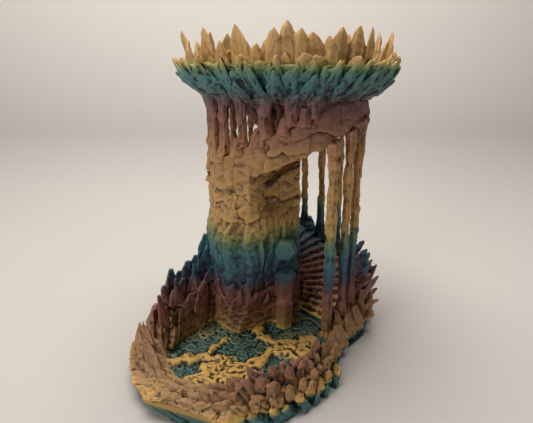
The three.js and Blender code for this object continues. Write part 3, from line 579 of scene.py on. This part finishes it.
def column_depth(points, outward):
    knobs = noise(points, (8 * MM, 8 * MM, 5.5 * MM), 41) * 1.15 * MM
    drips = rough(points, (4.5 * MM, 4.5 * MM, 14 * MM), 2, 43) * 0.75 * MM
    return knobs + drips + rough(points, 2.2 * MM, 2, 47) * 0.3 * MM


def pillar_depth(points, outward):
    return drapery(points, 7 * MM, 30 * MM, 91) * 1.1 * MM + column_depth(points, outward)


def stair_depth(points, outward):
    return plates(points, 7 * MM, 0.8 * MM, 51) + rough(points, 2.6 * MM, 2, 53) * 0.3 * MM


def bowl_depth(points, outward):
    return plates(points, 10 * MM, 1.0 * MM, 101) + rough(points, 4 * MM, 2, 103) * 0.4 * MM


def leaf_depth(points, outward):
    return (rough(points, 3 * MM, 2, 111) * 0.35 + drapery(points, 6 * MM, 20 * MM, 113) * 0.7) * MM


def spike_depth(points, outward):
    facets = plates(points, (9 * MM, 9 * MM, 14 * MM), 0.3 * MM, 127)
    return facets + rough(points, 3 * MM, 2, 129) * 0.15 * MM


def gem_depth(points, outward):
    return rough(points, 7 * MM, 3, 131) * 0.45 * MM


def rock_depth(points, outward):
    steep = 1 - 0.5 * np.abs(outward[:, 2])
    broken = plates(points, (8 * MM, 8 * MM, 11 * MM), 0.9 * MM, 61)
    return broken * steep + rough(points, 2.8 * MM, 2, 63) * 0.22 * MM


def slab_depth(points, outward):
    side = ease(np.hypot(outward[:, 0], outward[:, 1]), 0.5, 0.9)
    # The slab is deepest in under the crystals at the left front.
    left_front = ease(-points[:, 0], 10 * MM, 40 * MM) * ease(-points[:, 1], 80 * MM, 105 * MM)
    broken = plates(points, (11 * MM, 11 * MM, 9 * MM), 2.8 * MM, 71)
    return -6.5 * MM * side * left_front + side * (broken - 3.2 * MM)


# ---- Base ---------------------------------------------------------------------------------------
def make_base():
    base = fused("base", [node_solid("base_slab")], VOXEL)
    carve(base, slab_depth)
    points = coordinates(base.data)
    points[:, 2] = np.maximum(points[:, 2], 0)
    set_coordinates(base.data, points)
    finish_piece(base, ROCK, ["base_slab"])


# Plan of the tray about its own centre: [angle, outer radius, inner radius], in degrees and millimetres.
TRAY = (0, -86 * MM)
TRAY_PLAN = [
    (-222, 79, 62),
    (-205, 77, 54),
    (-180, 77, 59),
    (-156, 82, 63),
    (-140, 77, 60),
    (-125, 73, 58),
    (-105, 71, 54),
    (-80, 62, 50),
    (-50, 54.5, 44),
    (-20, 54.5, 42),
    (8, 62, 46),
    (25, 68, 50),
]
TRAY_ANGLES, TRAY_OUTER, TRAY_INNER = zip(*TRAY_PLAN)


def on_rim(angle, across, z):
    """A point on the tray's rim. across is 0 at its inner edge and 1 at its outer edge."""
    outer = np.interp(angle, TRAY_ANGLES, TRAY_OUTER)
    inner = np.interp(angle, TRAY_ANGLES, TRAY_INNER)
    return around((inner + across * (outer - inner)) * MM, angle, z * MM, TRAY)


# Rimstone dams on the tray's floor, each a line of points and half its width, in millimetres.
# The rest of the floor is pools.
DAMS = [
    ([(-64, -118), (-50, -113), (-41, -106), (-32, -98), (-20, -100)], 3.0),
    ([(-20, -100), (-9, -104), (3, -102), (9, -91), (13, -76), (21, -64), (34, -65), (48, -67)], 5.0),
    ([(-6, -50), (0, -61), (9, -64), (21, -62)], 4.0),
    ([(-12, -103), (-16, -112), (-21, -124), (-27, -140)], 9.5),
    ([(-12, -110), (-2, -117), (7, -113), (12, -104)], 4.5),
    ([(-20, -128), (-6, -130), (4, -138)], 4.0),
    ([(20, -64), (33, -58), (40, -50)], 5.0),
    ([(-24, -72), (-30, -84), (-28, -92)], 1.2),
    ([(13, -76), (26, -74), (40, -78)], 2.4),
]


def from_dams(points):
    """Distance to the edge of the nearest dam, in metres: below zero on the dam."""
    least = np.full(len(points), 1.0, dtype=np.float32)
    for line, half in DAMS:
        for a, b in itertools.pairwise(np.array(line, dtype=np.float32) * MM):
            run = b - a
            t = np.clip(((points[:, :2] - a) @ run) / (run @ run), 0, 1)
            gap = np.linalg.norm(points[:, :2] - (a + t[:, None] * run), axis=1)
            least = np.minimum(least, gap - half * MM)
    return least


def bubbles(flat, size, seed):
    """Round stones with a raised ring round each, 0 to about 1."""
    near, _, tag = cells(flat, size, seed)
    radius = 0.3 + 0.22 * tag[:, 0]
    ring = np.exp(-(((near - radius) / 0.07) ** 2))
    inner = np.exp(-(((near - 0.5 * radius) / 0.06) ** 2)) * 0.5
    dome = np.sqrt(np.clip(1 - (near / (radius * 0.34)) ** 2, 0, 1)) * 0.8
    return np.maximum(ring, np.maximum(inner, dome))


def floor_apron():
    """A thin slab that takes the floor out under the rocks round it."""
    angles = np.linspace(-215, 15, 40)
    edge = [on_rim(a, 0.35, 0)[:2] for a in angles]
    edge += [np.array(p) * MM for p in ((52, -38), (12, -22), (-30, -58))]  # and behind the wall
    count = len(edge)
    points = [(x, y, z) for z in (SLAB_TOP - 1 * MM, FLOOR_TOP) for x, y in edge]
    faces = [tuple(range(count - 1, -1, -1)), tuple(range(count, 2 * count))]
    faces += [(i, (i + 1) % count, count + (i + 1) % count, count + i) for i in range(count)]
    return np.array(points), faces


def make_pool_floor():
    floor = fused("pool_floor_rock", [node_solid("pool_floor"), floor_apron()], FINE_VOXEL)
    points, outward = coordinates(floor.data), normals(floor.data)
    up = ease(outward[:, 2], 0.1, 0.7)
    flat = points * np.array([1, 1, 0], dtype=np.float32)
    wander = warped(flat, 9 * MM, 3.0 * MM, 81)
    shore = from_dams(wander) + 1.6 * MM * rough(flat, 5 * MM, 2, 82)
    stones = np.maximum(bubbles(flat, 11 * MM, 83), 0.8 * bubbles(flat, 6 * MM, 86))
    stones = np.maximum(stones, 0.6 * bubbles(flat, 3.6 * MM, 89))
    patches = rough(flat, 24 * MM, 2, 84) * 0.9 * MM
    wet = FLOOR_TOP - 3.2 * MM + patches + 1.1 * stones * MM
    wrinkles = 1 - np.abs(rough(wander, 6 * MM, 3, 87))
    dry = FLOOR_TOP - 0.1 * MM + 0.9 * wrinkles * MM
    inside = ease(shore, -2.0 * MM, 3.0 * MM)
    height = np.maximum(inside * wet + (1 - inside) * dry, SLAB_TOP + 0.25 * MM)
    top = points[:, 2] > SLAB_TOP + 1.0 * MM
    points[:, 2] = np.where(top, points[:, 2] * (1 - up) + up * height, points[:, 2])
    points[:, 2] = np.maximum(points[:, 2], SLAB_TOP - 0.6 * MM)
    set_coordinates(floor.data, points)
    finish_piece(floor, POOL, ["pool_floor"], scale=0.34 * MM)


# ---- Walls, columns and stair -------------------------------------------------------------------
FASCIA_ANGLES = (-47, -108)  # degrees about the tower between the ends of the left fascia
FASCIA_RISE = 18 * MM  # height of the fascia above the treads
FASCIA_DROP = 6 * MM  # and below them
PARAPET_START = -8
PARAPET_END = -178
WALL_FACE = 63.5 * MM  # radius of the wall's outer face


def tread_height(angle):
    """Height of the stair's tread over an angle, read off the left fascia."""
    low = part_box("stair_fascia_left")[0][2] + FASCIA_DROP
    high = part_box("stair_fascia_left")[1][2] - FASCIA_RISE
    return high + (angle - FASCIA_ANGLES[0]) * (high - low) / (FASCIA_ANGLES[0] - FASCIA_ANGLES[1])


def parapet_top(angle):
    share = min(max((angle - PARAPET_END) / 45, 0), 1)
    return min(tread_height(angle) + 2.5 * MM + share * (FASCIA_RISE - 2.5 * MM), NECK + 2 * MM)


def parapet_plates():
    """Broken plates along the top edge of the fascia and the parapet, in steps."""
    made = []
    for row, (spacing, drop, out) in enumerate([(7.5, 8, -0.2), (11, 14, 0.3)]):
        count = int((PARAPET_START - PARAPET_END) / spacing)
        for i in range(count):
            angle = PARAPET_START - spacing * (i + 0.3 * spread(i, 141 + row))
            top = parapet_top(angle) - (2.5 if row == 0 else 7) * MM + 2.2 * MM * spread(i, 143 + row)
            foot = around(WALL_FACE - 0.8 * MM, angle - 3, top - drop * MM)
            proud = (out + 0.5 * spread(i, 145)) * MM
            tip = around(WALL_FACE + proud, angle + 2.5, min(top, NECK + 2 * MM))
            facing = around(1, angle, 0)
            wide = (12 + 4 * row + 3 * spread(i, 146)) * MM
            made.append(shard(foot, tip, wide, 1.6 * MM, facing, i + 300, PRISM))
    return made


def fascia_cap():
    """A thin wall that closes the gap between the high end of the fascia and the crown."""
    angles = np.linspace(-66, -6, 16)
    low, high = NECK - 9 * MM, NECK + 4 * MM
    inner, outer = WALL_FACE - 4 * MM, WALL_FACE - 1 * MM
    section = [(inner, low), (outer, low), (outer, high), (inner, high)]
    rings = [around(radius, angle, z) for angle in angles for radius, z in section]
    return np.array(rings), tube_faces(len(angles), 4)


WALLS = ["wall_front", "wall_west", "wall_north", "wall_east", "bulkhead"]
FASCIAS = ["stair_fascia_right", "stair_fascia_left"]


def make_walls():
    names = WALLS + FASCIAS
    solids = [node_solid(n) for n in names] + parapet_plates() + [fascia_cap()]
    wall = fused("cave_wall", solids, VOXEL)
    relax(wall, 5)
    blunt_prow(wall)
    carve(wall, cave_wall_depth)
    finish_piece(wall, ROCK, names, scale=1.15 * MM)


def flared(name):
    """Depth of a column's carving: knobs all the way, and wide roots at both ends."""
    low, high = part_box(name)[0][2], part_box(name)[1][2]

    def depth(points, outward):
        z = points[:, 2]
        ends = np.exp(-np.maximum(z - low, 0) / (4 * MM)) + np.exp(-np.maximum(high - z, 0) / (4 * MM))
        return column_depth(points, outward) + 0.5 * MM * ends * (1 - np.abs(outward[:, 2]))

    return depth


def post(profile, centre):
    """An upright eight-sided solid. profile is [radius, height] from its foot up. Each ring is turned."""
    sides = 8
    rings = [
        around(radius, 360 * j / sides + 9 * i, z, centre)
        for i, (radius, z) in enumerate(profile)
        for j in range(sides)
    ]
    return np.array(rings), tube_faces(len(profile), sides)


def roots(name):
    """Flares that run a column's ends into the rock below it and the crown above it."""
    points = coordinates(NODES[name].data)
    low, high = points[:, 2].min(), points[:, 2].max()
    head = points[points[:, 2] > high - 1 * MM].mean(axis=0)
    foot = points[points[:, 2] < low + 1 * MM].mean(axis=0)
    made = [post([(6.5 * MM, low - 3 * MM), (5 * MM, low + 2 * MM), (3 * MM, low + 9 * MM)], foot)]
    if high > NECK - 2 * MM:
        flare = [(3, -13), (4.4, -6), (5.4, 0), (7.5, 7)]
        made.append(post([(radius * MM, high + up * MM) for radius, up in flare], head))
    return made


def make_columns():
    for name in sorted(NODES):
        if not name.startswith("column_"):
            continue
        stem = fused(f"dripstone_{name[-2:]}", [node_solid(name)] + roots(name), FINE_VOXEL)
        relax(stem, 3)
        carve(stem, flared(name))
        finish_piece(stem, STONE, [name])
    names = ["central_pillar", "pillar_capital"]
    pillar = fused("pillar_rock", [node_solid(n) for n in names], VOXEL)
    carve(pillar, pillar_depth)
    finish_piece(pillar, STONE, names)


def make_stair():
    names = sorted(n for n in NODES if n.startswith("stair_flight"))
    for name in names:
        steps = fused(f"steps_{name[-1]}", [node_solid(name)], VOXEL)
        carve(steps, stair_depth)
        finish_piece(steps, STAIR, [name])


# ---- Crown --------------------------------------------------------------------------------------
# Underside of the bowl from neck to rim, as shares of the way out and of the way up.
BOWL = [(0, 0), (0.23, 0.19), (0.57, 0.44), (0.84, 0.73), (1, 1)]
WIDE_SIDE = 200  # the crown's leaves stand out furthest on this side, in degrees


def bowl_at(t, proud=0.0):
    """(radius, height) on the bowl's underside. t is 0 at the neck and 1 at the rim, proud is outwards."""
    out, up = (np.interp(t, np.linspace(0, 1, len(BOWL)), shares) for shares in zip(*BOWL))
    radius = NECK_RADIUS + out * (RIM_RADIUS - NECK_RADIUS)
    return radius + 0.72 * proud, NECK + up * (RIM - NECK) - 0.7 * proud


def crown_leaf(i, count, start, end, width, lift, rise, seed):
    """A leaf on the bowl: it grows along the underside from start to end and its tip peels off by lift."""
    angle = 360 * (i + 0.36 * spread(i, seed)) / count
    twist = 7 * spread(i, seed + 1)
    wide = width * (1 + 0.25 * spread(i, seed + 2))
    reach = end + 0.07 * spread(i, seed + 3)
    s = np.linspace(0, 1, RINGS)
    wide_side = math.cos(math.radians(angle - WIDE_SIDE))
    path = []
    for along, place in zip(s, start + s * (reach - start)):
        proud = 0.5 * MM + (lift + 1.6 * MM * spread(i, seed + 4)) * along**1.6
        radius, z = bowl_at(min(place, 1.0), proud)
        over = max(place - 1.0, 0)
        radius += over * 17 * MM + (end > 0.9) * along**3 * 1.5 * wide_side * MM
        z += over * 40 * MM + rise * along**3 * (1 + 0.7 * spread(i, seed + 5))
        path.append(around(radius, angle + twist * along, z))
    path = np.array(path)
    outward = unit(path * np.array([1, 1, 0]))
    aside = np.array([-outward[:, 1], outward[:, 0], np.zeros(len(s))]).T * 0.5 * spread(i, seed + 6)
    facing = unit(outward + aside - np.array([0, 0, 0.9]) * (1 - 0.6 * s[:, None]))
    swell = np.interp(s, [0, 0.3, 0.55, 0.8, 1], [0.45, 0.95, 1, 0.58, 0.03])
    return blade(path, swell * wide, (0.3 + 0.7 * swell) * 2.9 * MM, facing, i + seed)


# The tall crystals on the rim: [angle, height, width, lean outwards, lean sideways].
# Degrees and millimetres.
SPIKES = [
    (-155, 24, 15, 9, 2),
    (-137, 17, 11, 4, -3),
    (-117, 24, 16, 3, 1),
    (-105, 15, 11, 5, 4),
    (-94, 24.5, 17, 3, 0),
    (-85, 13, 10, 4, 3),
    (-76, 22, 13, 3, 2),
    (-68.5, 26, 13, 0, 0),
    (-62, 21.5, 12, 3, 0),
    (-53, 19.5, 14, 3, -5),
    (-43, 22.5, 16, 4, 1),
    (-32, 23.5, 13, 4, 0),
    (-22, 23, 13, 5, -3),
    (-8, 16, 11, 5, 2),
    (8, 22, 15, 4, 0),
    (24, 18, 12, 4, 3),
    (39, 24, 15, 3, 0),
    (54, 17, 11, 4, -3),
    (68, 25, 15, 3, 1),
    (83, 24, 14, 2, 0),
    (97, 25.5, 14, 3, 2),
    (112, 17, 11, 4, -2),
    (127, 23, 15, 3, 0),
    (142, 21, 13, 4, 2),
    (158, 25, 15, 3, 0),
    (173, 25.8, 14, 3, 1),
    (-170, 18, 12, 5, -2),
]


LOW_SPIKES = 38  # number of low crystals between the tall ones
SPIKE_TURN = -4.5  # degrees by which the tall crystals are turned from the CAD ones


def spike(i, angle, height, width, outward, sideward, ring, thick=2.9 * MM):
    """A tall crystal on the crown's rim. Lengths are in millimetres, but for the ring's radius."""
    radial = around(1, angle, 0)
    side = around(1, angle + 90, 0)
    foot = radial * ring + np.array([0, 0, RIM - 5 * MM])
    tip = foot + radial * outward * MM + side * sideward * MM
    tip[2] = min(RIM + height * MM, TOP)
    turn = 0.5 * spread(i, 9)
    facing = unit(radial + side * turn)
    return shard(foot, tip, width * 1.08 * MM, thick, facing, i, bow=1.4 * MM * spread(i, 8))


def make_crown():
    bowl = fused("crown_funnel", [node_solid("crown_bowl")], VOXEL)
    carve(bowl, bowl_depth)
    finish_piece(bowl, ROCK, ["crown_bowl"])

    rows = [
        # count, start, end, width, lift, rise, seed
        (28, 0.45, 1.14, 14.5, 2.0, 0.5, 53),
        (28, 0.2, 1.1, 14.0, 5.6, 2.0, 3),
        (27, 0.08, 1.0, 13.0, 6.4, 1.0, 13),
        (24, 0.0, 0.78, 11.0, 5.6, 0.5, 23),
        (24, 0.0, 0.46, 8.5, 4.2, 0.0, 33),
    ]
    leaves = []
    for count, start, end, width, lift, rise, seed in rows:
        for i in range(count):
            leaves.append(crown_leaf(i, count, start, end, width * MM, lift * MM, rise * MM, seed))
    skin = fused("crown_leaf_shell", leaves, FINE_VOXEL)
    carve(skin, leaf_depth)
    keep_inside(skin)
    names = [n for n in NODES if n.startswith("crown_leaves")]
    finish_piece(skin, LEAVES, names, scale=0.55 * MM)

    ring = RIM_RADIUS - 7 * MM
    tall = [spike(i, angle + SPIKE_TURN, *row, ring) for i, (angle, *row) in enumerate(SPIKES)]
    for i in range(LOW_SPIKES):
        angle = 360 * (i + 0.4 * spread(i, 121)) / LOW_SPIKES
        high = 6 + 4.5 * spread(i, 122)
        out = 5 + 4 * spread(i, 123)
        near = ring + (3.5 if i % 3 else -3) * MM
        width = 12 + 3 * spread(i, 124)
        tall.append(spike(i + 60, angle, high, width, out, 5 * spread(i, 125), near, 1.9 * MM))
    crystals = fused("crown_crystal_ring", tall, FINE_VOXEL)
    carve(crystals, spike_depth)
    keep_inside(crystals)
    names = [n for n in NODES if n.startswith("crown_crystals")]
    finish_piece(crystals, CRYSTAL, names, scale=1.1 * MM)


# ---- Rocks round the tray and the tower's foot ---------------------------------------------------
def rim_shard(i, angle, across, low, high, out, along, width, depth, shape):
    """A crystal on the rim from height low to high. It leans outwards and along the rim. Millimetres."""
    foot = on_rim(angle, across, low)
    radial, side = around(1, angle, 0), around(1, angle + 90, 0)
    tip = foot + (radial * out + side * along) * MM
    tip[2] = high * MM
    lean = unit(tip - foot)
    front = radial + np.array([0, 0, 0.7])
    facing = unit(front - lean * np.dot(front, lean))
    return shard(foot, tip, width * MM, depth * MM, facing, i, shape, bow=1.2 * MM * spread(i, 8))


KERB_TOP = 11  # height of the trimmed kerb, in millimetres
KERB_INSET = 6  # and how far it lies in from the tray's edge
KERB_ENDS = ((-180, -162), (-66, -50))  # degrees between which trimming starts, and stops
UNTRIMMED = (90, 50)  # a height and a distance past everything, where the rim stays as it is


def trimmed_rim(name):
    """A rim's node with a lower and narrower kerb in front, where the crystals hang over it."""
    points, faces = node_solid(name)
    flat = points[:, :2] - np.array(TRAY, dtype=np.float32)
    angle = np.degrees(np.arctan2(flat[:, 1], flat[:, 0]))
    angle = np.where(angle > 90, angle - 360, angle)
    share = ease(angle, *KERB_ENDS[0]) * (1 - ease(angle, *KERB_ENDS[1]))
    free_top, free_reach = UNTRIMMED
    points[:, 2] = np.minimum(points[:, 2], (free_top - (free_top - KERB_TOP) * share) * MM)
    outer = np.interp(angle, TRAY_ANGLES, TRAY_OUTER)
    outer = outer + free_reach * (1 - share) - KERB_INSET * share
    scale = np.minimum(1, outer * MM / np.linalg.norm(flat, axis=1))
    points[:, :2] = flat * scale[:, None] + np.array(TRAY, dtype=np.float32)
    return points, faces


# Heights of the palisade's tips by angle about the tray, in degrees and millimetres.
PALISADE = (
    [-220, -216, -211, -207, -198, -192, -185, -178, -172, -166, -158, -150, -140, -128],
    [77, 80, 64, 66, 56, 60, 53, 45, 32, 38, 31, 29, 23, 18],
)
# Rows of crystals from the rim's inner edge outwards: [share across the rim, height of the tips, number].
# In the palisade and on the left it is how far the tips are below those of PALISADE.
PALISADE_ROWS = [(0.1, 16, 6), (0.4, 5, 6), (0.75, 0, 8), (0.95, 22, 9)]
LEFT_ROWS = [(0.2, 6, 5), (0.5, 0, 6), (0.75, 6, 7), (0.9, 14, 8), (0.95, 22, 9)]
FRONT_ROWS = [(0.1, 15, 6), (0.4, 17, 7), (0.7, 14, 8), (0.9, 11, 9), (1.0, 8, 10)]
RIGHT_ROWS = [(0.05, 33, 7), (0.35, 30, 8), (0.65, 24, 8), (0.85, 16, 8), (0.95, 10, 9)]
# Where they stand: [first angle about the tray, how far round it they go], in degrees.
PALISADE_SPAN, LEFT_SPAN, FRONT_SPAN, RIGHT_SPAN = (-219, 48), (-168, 44), (-124, 64), (-60, 78)


def left_wall_top(angle):
    """Height of the palisade's tips, which fall away from the tower."""
    return float(np.interp(angle, *PALISADE))


def left_shards():
    made = []
    start, span = PALISADE_SPAN
    for row, (across, drop, count) in enumerate(PALISADE_ROWS):
        for i in range(count):
            angle = start + span * (i + 0.3 * spread(i, 151 + row)) / (count - 1)
            high = left_wall_top(angle - 4) - drop + 4 * spread(i, 153 + row)
            width = 20 - 2 * row + 4 * spread(i, 155 + row)
            out = 1.2 * row
            made.append(rim_shard(i + 17 * row, angle, across, 7, high, out, -9, width, 4.6, BLUNT))
    start, span = LEFT_SPAN
    for row, (across, drop, count) in enumerate(LEFT_ROWS):
        for i in range(count):
            angle = start + span * (i + 0.35 * spread(i, 161 + row)) / count
            high = left_wall_top(angle - 8) - drop + 3 * spread(i, 163 + row)
            width = (15 if row < 3 else 11) + 3 * spread(i, 165 + row)
            out = 2 + 1.5 * row
            low = 7 if row < 4 else 9
            tip = max(high, 14)
            made.append(rim_shard(i + 19 * row, angle, across, low, tip, out, -23, width, 2.8, LEAF))
    return made


def front_shards():
    made = []
    start, span = FRONT_SPAN
    for row, (across, high, count) in enumerate(FRONT_ROWS):
        for i in range(count):
            angle = start + span * (i + 0.35 * spread(i, 171 + row)) / count
            rise = max(angle + 105, 0) / 45 * (9 - 2 * row)  # the rim climbs towards the right
            tip = max(high + rise + 3 * spread(i, 173 + row), 12.5)
            width = (14.5 if row < 3 else 10) + 3 * spread(i, 175 + row)
            out = 0.5 + 1.8 * row
            low = 6 if row < 4 else 8
            made.append(rim_shard(i + 23 * row, angle, across, low, tip, out, -21, width, 3.0, LEAF))
    return made


def right_shards():
    made = []
    start, span = RIGHT_SPAN
    for row, (across, high, count) in enumerate(RIGHT_ROWS):
        for i in range(count):
            angle = start + span * (i + 0.3 * spread(i, 181 + row)) / count
            # The crystals lie along the rim at first, and then point out.
            turned = min(max((angle + 45) / 25, 0), 1)
            tip = max(high + 4 * spread(i, 183 + row), 8)
            width = 13 + 3 * spread(i, 185 + row)
            out = 1 + 0.9 * row + turned * 2.0
            low = 5 if row < 4 else 1
            along = -15 * (1 - turned) - 3
            made.append(rim_shard(i + 29 * row, angle, across, low, tip, out, along, width, 4.4, PRISM))
    return made


SKIRT_RADIUS = 64
# Rows of crystals round the tower's foot: [height of the foot, reach, rise, width], in millimetres.
EAST_ROWS = [(11, 15, 3, 10), (20, 15, 6, 10), (29, 15, 8, 10), (38, 13, 11, 9.5), (46, 10, 14, 9)]
BACK_ROWS = [(10, 11, 8, 11), (20, 10, 13, 11), (31, 8, 18, 11)]


def ring_shard(i, angle, radius, low, reach, rise, width):
    """A crystal that points away from the tower's foot. Millimetres."""
    radial, side = around(1, angle, 0), around(1, angle + 90, 0)
    foot = around(radius * MM, angle, low * MM)
    tip = foot + (radial * reach + side * 2.5 * spread(i, 7)) * MM + np.array([0, 0, rise * MM])
    lean = unit(tip - foot)
    facing = unit(np.array([0, 0, 1]) - lean * lean[2] + radial * 0.2)
    return shard(foot, tip, width * MM, 3.2 * MM, facing, i, PRISM, bow=0.8 * MM * spread(i, 8))


def skirt_shards(start, end, rows, seed):
    """Rows of crystals round the tower's foot between two angles, about one to every 9 degrees."""
    made = []
    for row, (low, reach, rise, width) in enumerate(rows):
        count = round(abs(end - start) / 9)
        for i in range(count):
            angle = start + (end - start) * (i + 0.5 + 0.35 * spread(i, seed + row)) / count
            out = reach + 2.2 * spread(i, seed + row + 20)
            up = rise + 3.5 * spread(i, seed + row + 40)
            wide = width + 2 * spread(i, seed + row + 60)
            made.append(ring_shard(i + 31 * row + seed, angle, SKIRT_RADIUS, low, out, up, wide))
    return made


def make_rocks():
    shards = {
        "tray_rim_left": left_shards(),
        "tray_rim_front": front_shards(),
        "tray_rim_right": right_shards(),
        "gate_boulders": [],
        "skirt_east": skirt_shards(56, -7, EAST_ROWS, 201),
        "skirt_north": skirt_shards(57, 124, BACK_ROWS, 211),
        "skirt_west": skirt_shards(127, 183, BACK_ROWS, 221),
    }
    for name, extra in shards.items():
        core = trimmed_rim(name) if name.startswith("tray_rim") else node_solid(name)
        rocks = fused(f"{name}_rock", [core] + extra, FINE_VOXEL)
        carve(rocks, rock_depth)
        keep_inside(rocks)
        finish_piece(rocks, ROCK, [name], scale=0.7 * MM)


def prism(path, radii, turn):
    """A straight six-sided crystal with flat faces along a path, turned by an angle in degrees."""
    sides = 6
    path = np.asarray(path, dtype=float)
    along = unit(path[-1] - path[0])
    aside = unit(np.cross((0.3, -1.0, 0.2), along))
    front = np.cross(along, aside)
    corners = [math.radians(turn + 360 * j / sides) for j in range(sides)]
    rings = [
        centre + radius * (math.cos(a) * aside + math.sin(a) * front)
        for centre, radius in zip(path, radii)
        for a in corners
    ]
    return np.array(rings), tube_faces(len(path), sides)


# Crystals on the wall: [node, foot, head, radius, turn, share of the radius at the bevel].
GEMS = [
    ("wall_crystal_upper", (8, -26, 76), (13, -43, 79.5), 9.8, 12, 0.8),
    ("wall_crystal_middle", (11, -35.5, 37.5), (12.5, -38, 60), 8.8, 10, 0.6),
    ("wall_crystal_lower", (11.5, -37.5, 9.5), (12.5, -39.5, 37.5), 7.6, 30, 0.66),
]


def make_wall_crystals():
    for name, foot, head, radius, turn, bevel in GEMS:
        foot, head = np.array(foot) * MM, np.array(head) * MM
        path = [foot + (head - foot) * t for t in (0, 0.88, 1)]
        radii = [radius * share * MM for share in (0.94, 1, bevel)]
        gem = fused(f"{name}_gem", [prism(path, radii, turn)], FINE_VOXEL)
        carve(gem, gem_depth)
        finish_piece(gem, CRYSTAL, [name], scale=1.0 * MM)


make_base()
make_pool_floor()
make_walls()
make_columns()
make_stair()
make_crown()
make_rocks()
make_wall_crystals()


# ---- Stage, light and camera --------------------------------------------------------------------
# The sweep's colour by height in metres, painted with shade and light: darkest where it bends up behind the
# object, palest high on the wall.
PAPER_WITH_PAINTED_SHADE = [(0.01, (0.62, 0.59, 0.56)), (0.09, (0.50, 0.475, 0.455)), (0.32, (0.86, 0.82, 0.78))]


def make_stage():
    """A pale sweep: a floor that curves up into a wall behind the object."""
    front, depth, height, bend, half = 1.6, 0.62, 1.6, 0.35, 3.0
    turns = 12
    yaw = math.radians(VIEW_AZIMUTH)
    line = [(-front, 0.0), (depth - bend, 0.0)]
    for i in range(1, turns + 1):
        a = math.pi / 2 * i / turns
        line.append((depth - bend + bend * math.sin(a), bend - bend * math.cos(a)))
    line.append((depth, height))
    points = []
    for away, z in line:
        for side in (-half, half):
            x = side * math.cos(yaw) - away * math.sin(yaw)
            y = side * math.sin(yaw) + away * math.cos(yaw)
            points.append((x, y, z))
    faces = [(2 * i, 2 * i + 1, 2 * i + 3, 2 * i + 2) for i in range(len(line) - 1)]
    sweep = piece("sweep", [(points, faces)])
    sweep.data.polygons.foreach_set("use_smooth", [True] * len(faces))
    paper = bpy.data.materials.new("paper")
    paper.use_nodes = True
    tree = paper.node_tree
    shader = tree.nodes["Principled BSDF"]
    shader.inputs["Roughness"].default_value = 0.8
    place = tree.nodes.new("ShaderNodeTexCoord")
    split = tree.nodes.new("ShaderNodeSeparateXYZ")
    ramp = tree.nodes.new("ShaderNodeValToRGB")
    # The ramp by height paints the sweep's shade at the bend and its light up the wall.
    fill_ramp(ramp, PAPER_WITH_PAINTED_SHADE)
    tree.links.new(place.outputs["Object"], split.inputs[0])
    tree.links.new(split.outputs["Z"], ramp.inputs[0])
    tree.links.new(ramp.outputs[0], shader.inputs["Base Color"])
    sweep.data.materials.append(paper)


def area_light(name, place, aim, size, watts, colour):
    light = bpy.data.lights.new(name, "AREA")
    light.shape = "RECTANGLE"
    light.size, light.size_y = size
    light.energy = watts
    light.color = colour
    obj = added(name, light)
    obj.location = place
    obj.rotation_euler = (Vector(aim) - Vector(place)).to_track_quat("-Z", "Y").to_euler()


WARM = (1.0, 0.965, 0.92)


def make_lights():
    world = bpy.data.worlds.new("soft_room")
    world.use_nodes = True
    background = world.node_tree.nodes["Background"]
    background.inputs["Color"].default_value = (1.0, 0.95, 0.9, 1)
    background.inputs["Strength"].default_value = 0.1
    bpy.context.scene.world = world
    centre = (0, 0, 0.1)
    area_light("overhead", (-0.1, 0.1, 1.1), centre, (0.9, 0.7), 11.5, WARM)
    area_light("front_left", (-0.45, -1.15, 0.6), centre, (0.6, 0.6), 5.0, WARM)


VIEW_DOWN = 18.6  # degrees by which the camera looks down
CAMERA = (0.1123, -0.3488, 0.220)
LENS = 30.4


def make_camera():
    data = bpy.data.cameras.new("camera")
    data.sensor_width = 36
    data.lens = LENS
    data.clip_start = 0.01
    camera = added("camera", data)
    camera.location = CAMERA
    camera.rotation_euler = (math.radians(90 - VIEW_DOWN), 0, math.radians(VIEW_AZIMUTH))
    bpy.context.scene.camera = camera


make_stage()
make_lights()
make_camera()
bpy.context.scene.view_settings.view_transform = "Standard"
